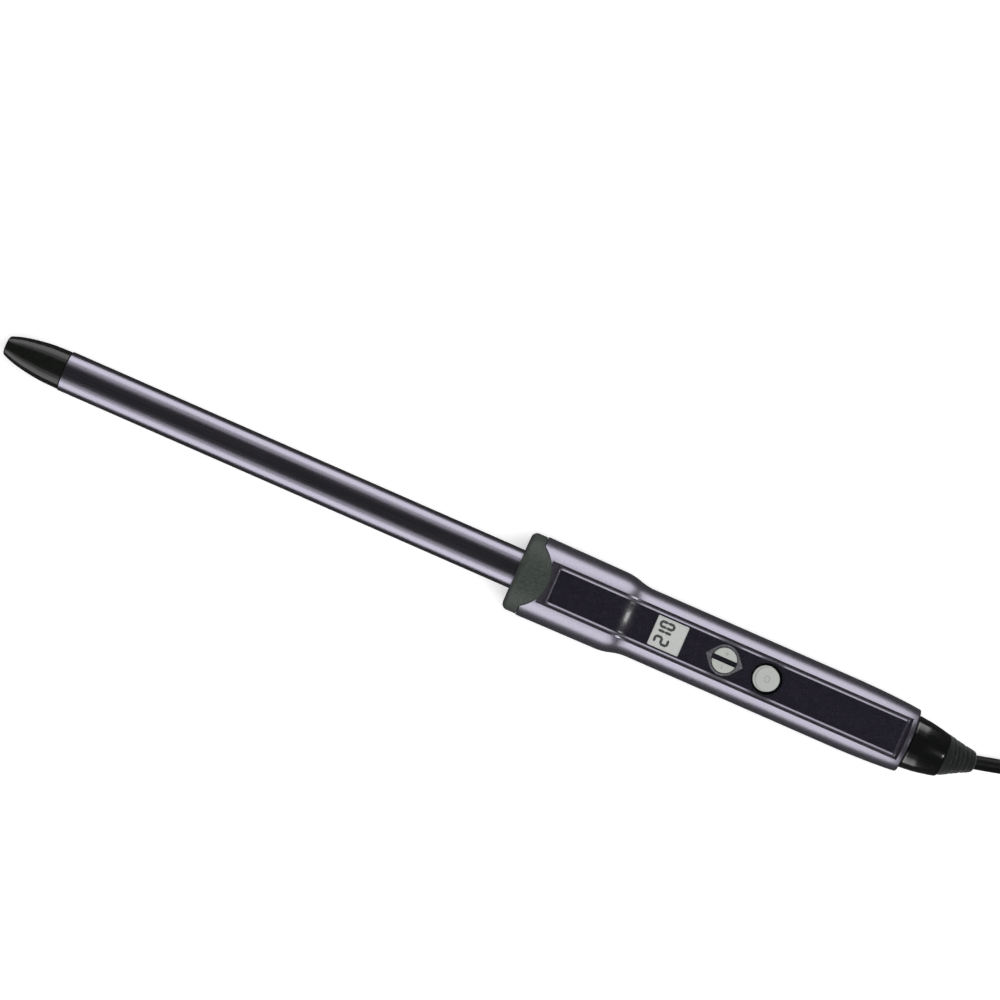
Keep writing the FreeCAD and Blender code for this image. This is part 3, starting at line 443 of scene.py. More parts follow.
def prepare_materials(colours):
    """Makes every finish, each with a note on how its piece is made."""
    violet, tip, collar, panel, display, key, black = (
        list(getattr(colours, name))[:3]
        for name in ("violet", "tip", "collar", "panel", "display", "key", "black")
    )
    # Sanded rubber returns more light than polished plastic of the same black.
    rubber = [c * 6.0 for c in black]
    MATERIALS.update(
        # Drawn tube, brushed round and dyed violet: satin bands, and faint drawing lines.
        barrel=grained(
            "anodised_aluminium", violet, 0.9, 0.05, (0.23, 0.31), (0.004, 1.0),
            drawn=(0.02, 1.0, 1.0), Metallic=1.0, Roughness=0.26,
        ),
        handle=metallic_lacquer(violet),
        # Glass-filled polyester for the cool tip: deep gloss with a slight orange peel.
        tip=grained(
            "heat_resistant_pet", tip, 1.2, 0.15, (0.15, 0.24), (0.01, 1.0), Roughness=0.18, IOR=1.57
        ),
        # Glass-filled nylon from a spark-eroded mould: matte, with a fine even grain.
        collar=grained(
            "eroded_nylon", collar, 0.9, 0.3, (0.5, 0.66), (0.03, 0.7), 4.0, Roughness=0.55, IOR=1.53
        ),
        # The plug is moulded with the same grain in black.
        plug=grained(
            "moulded_plug", black, 0.9, 0.3, (0.5, 0.66), (0.03, 0.7), 4.0, Roughness=0.55, IOR=1.53
        ),
        # Smoked violet polycarbonate with a hard gloss, dusted a little by use.
        panel=grained(
            "tinted_polycarbonate", panel, 2.5, 0.06, (0.2, 0.32), detail=5.0,
            Roughness=0.24, IOR=1.58, Coat_Weight=0.5, Coat_Roughness=0.1,
        ),
        window=clear_acrylic(),
        # Reflective liquid-crystal glass over a silvered film: flat satin silver grey.
        display=grained(
            "reflective_display", display, 0.5, 0.05, (0.38, 0.48), Roughness=0.42, Metallic=0.15
        ),
        # Dark liquid-crystal segments, a little uneven at their edges.
        ink=grained("display_ink", linear("#0C0D0D"), 0.6, 0.2, Roughness=0.4),
        # Moulded ABS with an etched fine texture, dry to the touch.
        key=grained(
            "textured_abs", key, 0.3, 0.1, (0.45, 0.6), (0.02, 0.6), 4.0, Roughness=0.5, IOR=1.52
        ),
        # Grey pad-printed marks on the keys, slightly worn.
        marks=grained("pad_print", linear("#8C8F8B"), 0.4, 0.15, Roughness=0.5),
        # Black chrome on plastic, blasted before plating: a dark satin mirror with bright edges.
        chrome=grained(
            "dark_chrome", linear("#9C9AA2"), 1.0, 0.08, (0.26, 0.34), Metallic=0.78, Roughness=0.3
        ),
        # Black polycarbonate straight from a polished mould.
        hub=grained(
            "gloss_polycarbonate", black, 3.0, 0.12, (0.16, 0.22),
            Roughness=0.18, IOR=1.65, Coat_Weight=1.0, Coat_Roughness=0.16,
        ),
        # Thermoplastic rubber: matte, with a fine sand texture and a dusty sheen.
        boot=grained(
            "soft_elastomer", rubber, 0.35, 0.25, (0.55, 0.72), (0.03, 0.7), 4.0,
            Roughness=0.62, IOR=1.5, Sheen_Weight=0.25, Sheen_Roughness=0.4,
        ),
        # Extruded flexible PVC: satin, with a faint unevenness from the die.
        cord=grained(
            "flexible_pvc", black, 1.0, 0.2, (0.4, 0.55), (0.02, 0.5), Roughness=0.45, IOR=1.53
        ),
        # Turned brass, nickel plated: bright, with fine turning marks round it.
        pin=grained(
            "nickel_plate", linear("#C9C4B8"), 0.3, 0.06, (0.2, 0.33), drawn=(1.0, 0.05, 0.05),
            Metallic=1.0, Roughness=0.25,
        ),
        strap=woven_strap(),
    )


# ---- Geometry Nodes ----
def new_tree(name, inputs):
    """A Geometry Nodes group with a geometry in and out, and named number inputs."""
    tree = bpy.data.node_groups.new(name, "GeometryNodeTree")
    tree.interface.new_socket("Geometry", in_out="INPUT", socket_type="NodeSocketGeometry")
    tree.interface.new_socket("Geometry", in_out="OUTPUT", socket_type="NodeSocketGeometry")
    names = {}
    for title, kind in inputs:
        socket = tree.interface.new_socket(title, in_out="INPUT", socket_type=f"NodeSocket{kind}")
        names[title] = socket.identifier
    return tree, names


def evaluated(name, points, tree, names, values):
    """Runs a tree over a line of points and returns its result as a plain mesh."""
    line = bpy.data.meshes.new(name)
    line.from_pydata(points, [(i, i + 1) for i in range(len(points) - 1)], [])
    carrier = bpy.data.objects.new(name, line)
    bpy.context.scene.collection.objects.link(carrier)
    modifier = carrier.modifiers.new(tree.name, "NODES")
    modifier.node_group = tree
    for title, value in values.items():
        modifier[names[title]] = value
    result = plain_mesh(carrier)
    bpy.data.objects.remove(carrier)
    return result


def lead_out(tree, geometry, finish):
    """Gives a geometry its material and leads it out of the tree."""
    done = add(tree, "GeometryNodeSetMaterial", {"Geometry": geometry, "Material": finish})
    add(tree, "NodeGroupOutput", {0: done.outputs[0]})


def lathe_tree():
    """Turns a line of points (place, 0, radius) about the X axis."""
    tree, names = new_tree("lathe", [("Rows", "Int"), ("Columns", "Int"), ("Finish", "Material")])
    given = add(tree, "NodeGroupInput").outputs
    # One column more than asked for brings the last one back onto the first.
    wide = maths(tree, "ADD", given["Columns"], 1.0)
    grid = add(tree, "GeometryNodeMeshGrid", {"Vertices X": given["Rows"], "Vertices Y": wide})
    index = add(tree, "GeometryNodeInputIndex").outputs[0]
    row = maths(tree, "FLOOR", maths(tree, "DIVIDE", index, wide))
    column = maths(tree, "MODULO", index, wide)
    angle = maths(tree, "MULTIPLY", maths(tree, "DIVIDE", column, given["Columns"]), math.tau)
    where = add(tree, "GeometryNodeInputPosition").outputs[0]
    sample = add(
        tree, "GeometryNodeSampleIndex",
        {"Geometry": given["Geometry"], "Value": where, "Index": row}, data_type="FLOAT_VECTOR",
    )
    swung = add(
        tree, "ShaderNodeVectorRotate", {"Vector": sample.outputs[0], "Angle": angle},
        rotation_type="X_AXIS",
    )
    moved = add(
        tree, "GeometryNodeSetPosition",
        {"Geometry": grid.outputs["Mesh"], "Position": swung.outputs[0]},
    )
    merged = add(
        tree, "GeometryNodeMergeByDistance", {"Geometry": moved.outputs[0], "Distance": 1e-7}
    )
    real = add(tree, "GeometryNodeRealizeInstances", {0: merged.outputs[0]})
    lead_out(tree, real.outputs[0], given["Finish"])
    return tree, names


def rings_tree():
    """Puts rounded rings on a line of points, each as wide as its point says in its Z."""
    tree, names = new_tree(
        "rings", [("Thickness", "Float"), ("Columns", "Int"), ("Finish", "Material")]
    )
    given = add(tree, "NodeGroupInput").outputs
    circle = "GeometryNodeCurvePrimitiveCircle"
    path = add(tree, circle, {"Resolution": given["Columns"], "Radius": 1.0})
    where = add(tree, "GeometryNodeInputPosition")
    parts = add(tree, "ShaderNodeSeparateXYZ", {0: where.outputs[0]})
    radius = add(tree, "GeometryNodeCaptureAttribute", {"Geometry": given["Geometry"]})
    radius.capture_items.new("FLOAT", "Radius")
    tree.links.new(parts.outputs["Z"], radius.inputs["Radius"])
    flat = add(tree, "ShaderNodeCombineXYZ", {"X": parts.outputs["X"]})
    on_axis = add(
        tree, "GeometryNodeSetPosition",
        {"Geometry": radius.outputs["Geometry"], "Position": flat.outputs[0]},
    )
    spread = add(
        tree, "GeometryNodeInstanceOnPoints",
        {
            "Points": on_axis.outputs[0], "Instance": path.outputs[0],
            "Scale": radius.outputs["Radius"], "Rotation": (0.0, math.pi / 2, 0.0),
        },
    )
    real = add(tree, "GeometryNodeRealizeInstances", {0: spread.outputs[0]})
    section = add(tree, circle, {"Resolution": 12, "Radius": given["Thickness"]})
    body = add(
        tree, "GeometryNodeCurveToMesh",
        {"Curve": real.outputs[0], "Profile Curve": section.outputs[0]},
    )
    lead_out(tree, body.outputs[0], given["Finish"])
    return tree, names


def lathed(name, outline, finish, columns=192, matrix=None):
    """A turned piece made by the lathe tree from (place, radius) in millimetres."""
    tree, names = lathe_tree()
    points = [(s * MM, 0, r * MM) for s, r in outline]
    values = {"Rows": len(points), "Columns": columns, "Finish": MATERIALS[finish]}
    mesh = evaluated(name, points, tree, names, values)
    mesh.transform(matrix or Matrix.Translation((FRONT_X, 0, AXIS_Z)))
    return cleaned(mesh)


# ---- outlines ----
def through(points, steps=6):
    """A smooth line through points, for moulded curves."""
    ends = [2 * Vector(points[0]) - Vector(points[1]), *map(Vector, points)]
    ends.append(2 * Vector(points[-1]) - Vector(points[-2]))
    line = []
    for i in range(1, len(ends) - 2):
        a, b, c, d = ends[i - 1 : i + 3]
        for step in range(steps):
            t = step / steps
            line.append(
                0.5 * (2 * b + (c - a) * t + (2 * a - 5 * b + 4 * c - d) * t**2
                + (3 * b - a - 3 * c + d) * t**3)
            )
    line.append(ends[-2])
    return line


def handle_line(sizes, inset=0.0):
    """The handle's outline from the shoulder's front to its rear end."""
    shoulder, grip, taper = (
        v / MM for v in (sizes.shoulder_at, sizes.grip_starts, sizes.taper_starts)
    )
    wide, slim = COLLAR_R - inset, GRIP_R - inset
    radius = ((HANDLE_END - taper) ** 2 + (GRIP_R - END_R) ** 2) / (2 * (GRIP_R - END_R))
    line = s_curve(shoulder, wide, grip, slim)
    line += [(grip + (taper - grip) * i / 24, slim) for i in range(1, 25)]
    for i in range(1, 13):
        along = (HANDLE_END - taper) * i / 12
        line.append((taper + along, slim - radius + math.sqrt(radius**2 - along**2)))
    return line


def handle_radius(sizes, at):
    """The handle's outer radius at a place."""
    line = [(SHELL_START, SHELL_FRONT_R), *handle_line(sizes)]
    for (a, ra), (b, rb) in zip(line, line[1:]):
        if a <= at <= b:
            return ra + (rb - ra) * (at - a) / (b - a)
    return END_R


def rim_level(sizes, at):
    """How high the panel's rim lies over the axis."""
    return math.sqrt(handle_radius(sizes, at) ** 2 - SLOT_HALF**2) - RIM_DROP


def stacked(name, outline, levels, at=(0, 0)):
    """A closed form from a flat outline, drawn in by an inset at each level (inset, z)."""
    count = len(outline)
    points = [Vector((x, y)) for x, y in outline]
    area = sum(points[i].cross(points[(i + 1) % count]) for i in range(count))
    sign = 1 if area > 0 else -1
    normals = []
    for i in range(count):
        along = (points[(i + 1) % count] - points[i - 1]).normalized()
        normals.append(Vector((along.y, -along.x)) * sign)
    rows = [
        [place(at[0] + p.x - n.x * inset, at[1] + p.y - n.y * inset, z) for p, n in zip(points, normals)]
        for inset, z in levels
    ]
    return loft(name, rows)


def rounded_levels(low_z, high_z, radius, steps=4, below=0.0):
    """Levels for a form whose top edge, and bottom edge if asked, is rounded."""
    levels = []
    if below:
        for i in range(steps + 1):
            turn = math.pi / 2 * i / steps
            levels.append((below * (1 - math.sin(turn)), low_z + below * (1 - math.cos(turn))))
    else:
        levels.append((0, low_z))
    for i in range(steps + 1):
        turn = math.pi / 2 * i / steps
        levels.append((radius * (1 - math.cos(turn)), high_z - radius * (1 - math.sin(turn))))
    return levels


def rounded_outline(corners, radius, steps=5):
    """A closed outline with each corner rounded."""
    line = []
    for i, here in enumerate(corners):
        line += corner_arc(here, corners[i - 1], corners[(i + 1) % len(corners)], radius, steps)
    return line


def rectangle(x1, x2, y1, y2):
    return [(x1, y1), (x2, y1), (x2, y2), (x1, y2)]


def disc(radius, count=96):
    return [
        (radius * math.cos(math.tau * i / count), radius * math.sin(math.tau * i / count))
        for i in range(count)
    ]


def through_cut(name, outline, at=(0, 0)):
    """A tool for a hole straight through the panel or its seat."""
    return stacked(name, outline, [(0, 5), (0, 15)], at)


# ---- the pieces ----
def make_barrel():
    """The tube, whose rear end the collar hides."""
    rear, bore = 2.0, BARREL_R - 1.0
    outline = softened(
        [(rear, bore), (rear, BARREL_R), (TIP_JOINT, BARREL_R, 0.3), (TIP_JOINT, bore), (rear, bore)]
    )
    # Rows between the ends keep each strip of faces short.
    start, end = outline[1], outline[2]
    outline[2:2] = [start.lerp(end, i / 24) for i in range(1, 24)]
    mesh = lathed("barrel_skin", outline, "barrel")
    finished("barrel_skin", mesh, "handle", "barrel", replaces=["barrel_tube"])


def make_tip():
    """The cool tip: a small step at the tube, then one bulging line to a blunt nose."""
    step, reach = 0.35, TIP_JOINT - TIP_END
    shares = [(0.0, 1.0), (0.3, 0.965), (0.55, 0.865), (0.77, 0.725), (0.92, 0.57), (0.978, 0.49)]
    curve = through([(TIP_JOINT - step - (reach - step) * a, TIP_R * b) for a, b in shares])
    nose = softened([tuple(curve[-1]), (TIP_END, TIP_R * 0.36, 1.2), (TIP_END, 0)], steps=8)
    seat = TIP_JOINT + 0.02
    outline = [(seat, 0), (seat, TIP_R - 0.5), (TIP_JOINT - 0.2, TIP_R - 0.12)]
    mesh = lathed("tip_skin", [*outline, *curve[:-1], *nose], "tip", 128)
    finished("tip_skin", mesh, "handle", "tip", replaces=["tip_cap"])


def tongue_edge(sizes, y):
    """Where the collar's rear edge lies at a place across it."""
    length, reach = sizes.collar_length / MM, sizes.tongue_reach / MM
    if abs(y) >= TONGUE_HALF:
        return length
    sagitta = reach - length
    radius = (TONGUE_HALF**2 + sagitta**2) / (2 * sagitta)
    return reach - radius + math.sqrt(radius**2 - y**2)


def make_collar(sizes):
    """A ring with a rounded front edge, whose top reaches back over the shell in an arc."""
    corner, depth = 2.4, 1.9
    hole = BARREL_R + 0.12
    corner_turn = math.asin(TONGUE_HALF / COLLAR_R)
    angles = [corner_turn * i / 48 for i in range(-48, 49)]
    angles += [corner_turn + (math.tau - 2 * corner_turn) * i / 96 for i in range(1, 96)]
    front = [(2.2, hole), (0.35, hole), (0.1, hole + 0.1), (0.0, hole + 0.35)]
    front += [(0.0, hole + (COLLAR_R - corner - hole) * i / 4) for i in range(1, 5)]
    front += [
        (corner * (1 - math.cos(t)), COLLAR_R - corner * (1 - math.sin(t)))
        for t in (math.pi / 2 * i / 10 for i in range(1, 11))
    ]
    rows = [[point] * len(angles) for point in front]
    edges = [
        tongue_edge(sizes, COLLAR_R * math.sin(a)) if math.cos(a) > 0 else sizes.collar_length / MM
        for a in angles
    ]
    for share in (0.25, 0.5, 0.75):
        rows.append([(corner + (e - 0.25 - corner) * share, COLLAR_R) for e in edges])
    # The rear edge is eased a little and goes down onto the shell.
    for back, down in ((0.25, 0.0), (0.1, 0.04), (0.02, 0.14), (0.0, 0.3), (0.0, depth)):
        rows.append([(e - back, COLLAR_R - down) for e in edges])
    rows.append([(5.0, COLLAR_R - depth)] * len(angles))
    rows.append([(2.5, COLLAR_R - 2.3)] * len(angles))
    table = [
        [place(s, r * math.sin(a), r * math.cos(a)) for (s, r), a in zip(row, angles)]
        for row in rows
    ]
    mesh = skin("collar_skin", table, close_rows=True)
    finished("collar_skin", mesh, "handle", "collar", replaces=["collar"])


def half_shell(name, sizes, sign):
    """One half of the handle, with a small rounding along the side seam."""
    front, wall, cord_bore = 6.32, 1.8, 7.0
    line = handle_line(sizes)
    outer = softened([(front, 12.9), (front, SHELL_FRONT_R, 0.3), (39.2, COLLAR_R + 0.01)])
    outer += line[:-2]
    outer += softened(
        [tuple(line[-2]), (HANDLE_END, END_R - 0.1, 0.7), (HANDLE_END, cord_bore)]
    )[1:]
    inner = [(153.0, cord_bore - 0.02), (152.6, GRIP_R - 2.2)]
    inner += [(s, r) for s, r in reversed(handle_line(sizes, wall)) if s < 150]
    inner += [(18.0, COLLAR_R - wall), (16.0, 12.0), (front, 12.0)]
    loop = [*outer, *inner]
    angles = [-90.0, -89.55, -89.1, *[-88 + 176 * i / 88 for i in range(89)], 89.1, 89.55, 90.0]
    last = len(angles) - 1
    rounding = {0: 0.16, 1: 0.05, last - 1: 0.05, last: 0.16}
    rows = []
    for k, degrees in enumerate(angles):
        turn = math.radians(degrees)
        # At the seam each half stays a little short of the middle, which leaves a hairline.
        lift = 0.05 if k in (0, last) else 0.0
        row = []
        for i, (s, r) in enumerate(loop):
            if i < len(outer):
                r -= rounding.get(k, 0.0)
            row.append(place(s, r * math.sin(turn), sign * (r * math.cos(turn) + lift)))
        rows.append(row)
    return loft(name, rows)


def slot_places(margin):
    """Places along the slot, which runs from under the collar's tongue to the lip at the rear."""
    start, end = SLOT_FRONT - margin, SLOT_REAR + margin
    return [start + (end - start) * i / 180 for i in range(181)]


def mirrored(side):
    """A section from its half at one side of the middle."""
    return side + [(-y, z) for y, z in reversed(side)]


def slot_cutter(sizes):
    """Takes the panel's slot out of the shell, with a rounded lip along both sides."""
    lip = [(0.0, -0.3), (0.03, -0.14), (0.12, -0.03), (0.3, 0.02), (0.8, 0.2)]
    rows = []
    for s in slot_places(0.5):
        edge = math.sqrt(handle_radius(sizes, s) ** 2 - SLOT_HALF**2)
        side = [(SLOT_HALF, edge - 4.5)] + [(SLOT_HALF + out, edge + up) for out, up in lip]
        side.append((SLOT_HALF + 0.9, 24.0))
        rows.append([place(s, y, z) for y, z in mirrored(side)])
    return loft("slot", rows)


def slot_floor(sizes):
    """The seat under the panel, with its window for the display and the keys."""
    half, drop, thickness = SLOT_HALF - 0.03, 1.4, 1.1
    rows = []
    for s in slot_places(0.45):
        level = rim_level(sizes, s) - drop
        rows.append([place(s, y, z) for y, z in mirrored([(half, level - thickness), (half, level)])])
    window = rounded_outline(rectangle(DISPLAY_AT - 8.4, POWER_AT + 7.8, -7.3, 7.3), 1.0)
    return cut(loft("slot_floor", rows), stacked("hole", window, [(0, 3), (0, 20)]))


def make_shells(sizes):
    """Both halves of the handle; the upper one has the slot and a cut under the tongue."""
    lower = half_shell("lower_shell_skin", sizes, -1)
    finished(
        "lower_shell_skin", lower, "handle", "handle", replaces=["lower_shell"]
    )
    upper = half_shell("upper_shell_skin", sizes, 1)
    ys = [(TONGUE_HALF + 0.1) * i / 40 for i in range(-40, 41)]
    arc = [(tongue_edge(sizes, y) + 0.12, y) for y in ys]
    outline = [(3.0, ys[0]), *arc, (3.0, ys[-1])]
    gap = stacked("tongue_gap", outline, [(0, 4.0), (0, 24.0)])
    upper = cleaned(cut(upper, slot_cutter(sizes), gap), False)
    finished(
        "upper_shell_skin", upper, "handle", "handle", replaces=["upper_shell"]
    )
    finished("slot_floor", slot_floor(sizes), "handle", "handle")


def make_panel(sizes):
    """The long inset strip, with a raised rim, its bevel and a sunk face."""
    start, end, margin = PANEL_START, PANEL_END + 0.6, 1.1
    edge = PANEL_HALF - 0.15
    ends = [0.0, 0.06, 0.2, margin - 0.45, margin - 0.3, margin - 0.12, margin]
    places = [start + e for e in ends]
    places += [start + margin + (end - start - 2 * margin) * i / 160 for i in range(1, 160)]
    places += [end - e for e in reversed(ends)]
    bevel = ((0.92, 0.0), (0.7, 0.1), (0.45, 0.28), (0.2, 0.46), (0.03, 0.56), (-0.1, 0.59))
    rows = []
    for k, s in enumerate(places):
        level = rim_level(sizes, s)
        from_end = min(k, len(places) - 1 - k)
        top = level - {0: 0.2, 1: 0.06}.get(from_end, 0.0)
        # The face sinks by a rounded step, along the sides and at both ends.
        share = {4: 0.15, 5: 0.6}.get(from_end, 1.0 if from_end > 5 else 0.0)
        side = [
            (edge - 0.4, level - 1.3), (edge, level - 1.2), (edge, top - 0.16),
            (edge - 0.05, top - 0.05), (edge - 0.16, top),
        ]
        side += [(FACE_HALF + out, top - down * share) for out, down in bevel]
        # The face is a little crowned.
        for part in (0.85, 0.7, 0.55, 0.4, 0.2):
            side.append((FACE_HALF * part, top - (0.3 + 0.3 * part**2) * share))
        rows.append([place(s, y, z) for y, z in mirrored(side)])
    mesh = cut(
        loft("panel_strip", rows),
        through_cut("hole", rounded_outline(rectangle(-6.45, 6.45, -6.1, 6.1), 0.5), (DISPLAY_AT, 0)),
        through_cut("hole", disc(KEY_HOLE), (KEYS_AT, 0)),
        through_cut("hole", disc(POWER_HOLE), (POWER_AT, 0)),
    )
    piece = finished(
        "panel_strip", mesh, "handle", "panel", replaces=["control_panel"]
    )
    # The raised rim is sprayed like the handle.
    piece.data.materials.append(MATERIALS["handle"])
    for face in piece.data.polygons:
        along, aside = station(face.center), abs(face.center.y) / MM
        if aside > FACE_HALF or not start + margin < along < end - margin:
            face.material_index = 1


def segment(x, y, length, width, along_x):
    """One six-sided bar of a digit, on the display."""
    half, w = length / 2, width / 2
    points = [(-half, 0), (-half + w, -w), (half - w, -w), (half, 0), (half - w, w), (-half + w, w)]
    return [(x + (p if along_x else q), y + (q if along_x else p)) for p, q in points]


def make_display():
    """The clear window, the silver plate under it and the dark digits on the plate."""
    at = (DISPLAY_AT, 0)
    top = FACE_Z - 0.55
    glass = rounded_outline(rectangle(-6.4, 6.4, -6.05, 6.05), 0.45)
    lens = stacked("display_window", glass, rounded_levels(FACE_Z - 0.5, FACE_Z, 0.3, 4), at)
    finished("display_window", lens, "handle", "window", replaces=["display_lens"])
    plate = stacked("display_plate", glass, [(0.05, FACE_Z - 0.95), (0.05, top)], at)
    finished("display_plate", plate, "handle", "display")
    # The digits read across the handle, with their tops towards the tip.
    tall, stroke, overlap = 5.3, 1.05, 0.25
    centre = DISPLAY_AT - 1.75
    bars = []
    for digit, side, wide in (("2", -2.9, 2.5), ("1", -0.6, 2.5), ("0", 3.35, 2.0)):
        half = wide / 2
        where = {
            "a": (-tall / 2, 0, wide, False), "g": (0, 0, wide, False), "d": (tall / 2, 0, wide, False),
            "f": (-tall / 4, -half, tall / 2, True), "b": (-tall / 4, half, tall / 2, True),
            "e": (tall / 4, -half, tall / 2, True), "c": (tall / 4, half, tall / 2, True),
        }
        for key in DIGITS[digit]:
            x, y, length, along = where[key]
            bar = segment(x, y, length + overlap, stroke, along)
            bars.append(stacked("bar", bar, [(0, top + 0.005), (0, top + 0.03)], (centre, side)))
    digits = joined("display_digits", bars)
    finished("display_digits", digits, "handle", "ink")


def half_moon(radius, gap, sign):
    """Half a disc on one side of a slit, with its two corners eased."""
    start = math.asin(gap / radius)
    arc = [start + (math.pi - 2 * start) * i / 40 for i in range(41)]
    line = [(radius * math.cos(t), sign * radius * math.sin(t)) for t in arc]
    inner = radius * math.cos(start) - 0.25
    line[0] = (line[0][0] - 0.02, line[0][1] + sign * 0.2)
    line[-1] = (line[-1][0] + 0.02, line[-1][1] + sign * 0.2)
    left, right = Vector((-inner, sign * gap)), Vector((inner, sign * gap))
    return line + [tuple(left.lerp(right, i / 20)) for i in range(21)]


def make_keys():
    """Two half-round keys that share one round opening, with a plus and a minus on them."""
    top = FACE_Z + 2.0
    marks = [(0, top - 0.03), (0, top + 0.03)]
    half, thin = 0.8, 0.14
    for sign, node in ((1, "plus_key"), (-1, "minus_key")):
        levels = rounded_levels(FACE_Z - 1.6, top, 0.4, 5)
        cap = stacked(f"{node}_cap", half_moon(4.9, 0.95, sign), levels, (KEYS_AT, 0))
        finished(f"{node}_cap", cap, node, "key", replaces=[node])
        at = (KEYS_AT, sign * 2.75)
        bars = [stacked("bar", rectangle(-thin, thin, -half, half), marks, at)]
        if sign > 0:
            bars.append(stacked("bar", rectangle(-half, half, -thin, thin), marks, at))
            bars = [cut(bars[0], bars[1].copy()), bars[1]]
        finished(f"{node}_mark", joined(f"{node}_mark", bars), node, "marks")


def make_bezel():
    """The dark ring round the keys, drawn out to two points, and the bar between them."""
    at = (KEYS_AT, 0)
    outer, reach = 6.0, 7.7
    slope = math.acos(outer / reach)
    line = [(reach, 0.0)]
    line += [
        (outer * math.cos(t), outer * math.sin(t))
        for t in (slope + (math.pi - 2 * slope) * i / 40 for i in range(41))
    ]
    line.append((-reach, 0.0))
    line += [(-x, -y) for x, y in line[1:42]]
    rises = ((0, -0.1), (0, 0.15), (0.06, 0.28), (0.22, 0.38), (0.4, 0.42))
    body = stacked("key_bezel_ring", line, [(inset, FACE_Z + up) for inset, up in rises], at)
    body = cut(body, through_cut("hole", disc(KEY_HOLE), at))
    finished("key_bezel_ring", body, "handle", "chrome", replaces=["key_bezel"])
    bar_outline = rectangle(-KEY_HOLE - 0.1, KEY_HOLE + 0.1, -0.6, 0.6)
    bar = stacked("bar", bar_outline, rounded_levels(FACE_Z - 0.6, FACE_Z + 0.4, 0.15, 3), at)
    finished("key_divider", bar, "handle", "panel")


def make_power():
    """The round power button with its mark, and the thin ring round it."""
    base, neck = 5.1, 4.45
    top = FACE_Z + 2.6
    waist = top - 0.75
    skirt = [(0.0, FACE_Z - 1.2), (base, FACE_Z - 1.2), (base, FACE_Z + 0.4), (base - 0.1, top - 1.2)]
    skirt += [(4.93, top - 0.92), (4.8, top - 0.83), (neck, top - 0.8)]
    face = [(neck, top - 0.7), (4.62, top - 0.65), (4.7, top - 0.55), (4.7, top - 0.3)]
    face += [(4.6, top - 0.1), (4.42, top), (4.2, top - 0.01), (3.6, top - 0.03), (0.0, top - 0.05)]
    cap = upright("power_cap", skirt + face, POWER_AT)
    # The round face overhangs its skirt to the rear, so the skirt shows as a crescent in front.
    for vertex in cap.vertices:
        above = vertex.co.z > AXIS_Z + waist * MM
        vertex.co.x += (0.25 if above else -0.45) * MM
    finished("power_cap", cap, "power_button", "key", replaces=["power_button"])
    z, at = [(0, top - 0.05), (0, top)], (POWER_AT, 0)
    gap = math.radians(38)
    arc = [gap + (math.tau - 2 * gap) * i / 40 for i in range(41)]
    ring_line = [(-1.25 * math.cos(t), 1.25 * math.sin(t)) for t in arc]
    ring_line += [(-1.0 * math.cos(t), 1.0 * math.sin(t)) for t in reversed(arc)]
    marks = [
        stacked("bar", ring_line, z, at), stacked("bar", rectangle(-1.5, -0.4, -0.13, 0.13), z, at)
    ]
    finished("power_mark", joined("power_mark", marks), "power_button", "marks")
    rises = ((0.0, -0.3), (0.0, 0.2), (0.08, 0.29), (0.32, 0.29), (0.4, 0.2), (0.4, -0.3), (0.0, -0.3))
    ring = upright("power_ring", [(POWER_HOLE + out, FACE_Z + up) for out, up in rises], POWER_AT)
    finished("power_ring", ring, "handle", "panel", replaces=["power_bezel"])


def make_hub():
    """The glossy cord exit, with its stem inside the handle and its hollow for the boot."""
    rear, bore, stem, stem_front = 8.2, 2.9, 4.4, 144.0
    shape = [(0.6, HUB_R), (3.0, 10.46), (5.6, 10.18), (8.6, 9.66), (11.5, 9.06), (13.6, 8.56)]
    dome = through([(HUB_START + along, r) for along, r in [*shape, (14.3, rear)]], 8)
    outline = [(stem_front, bore), (stem_front, stem), (HUB_START, stem), (HUB_START, HUB_R - 0.4)]
    outline += [(HUB_START + 0.15, HUB_R - 0.12), *map(tuple, dome), (HUB_END - 0.1, rear - 0.12)]
    outline += [(HUB_END, rear - 0.3), (HUB_END - 0.3, rear - 0.35), (HUB_END - 4.0, rear - 0.4)]
    outline += [(HUB_END - 4.2, bore + 0.05), (stem_front, bore)]
    mesh = lathed("hub_skin", outline, "hub", 160)
    finished("hub_skin", mesh, "cord_exit", "hub", replaces=["swivel_hub"])


def boot_matrix():
    """From a piece drawn along X to the boot's own leaning axis."""
    return (
        Matrix.Translation(place(175.0, 0, 0))
        @ Matrix.Rotation(math.radians(9.0), 4, "Z")
        @ Matrix.Rotation(math.radians(12.0), 4, "Y")
    )


def boot_groove(at, radius, share_round):
    """How deep a bar-shaped groove of the boot is at a place along it and a share of a turn."""
    first, pitch, rings, bars, depth = 5.5, 1.95, 5, 4, 0.6
    ring_at = (at - first) / pitch
    if not 0 <= ring_at < rings or radius <= 3.0:
        return 0.0
    along = min(1.0, max(0.0, (0.24 - abs(ring_at % 1 - 0.3)) / 0.07))
    phase = (share_round * bars + 0.5 * (int(ring_at) % 2)) % 1
    return depth * along * min(1.0, max(0.0, (0.46 - abs(phase - 0.5)) / 0.04))


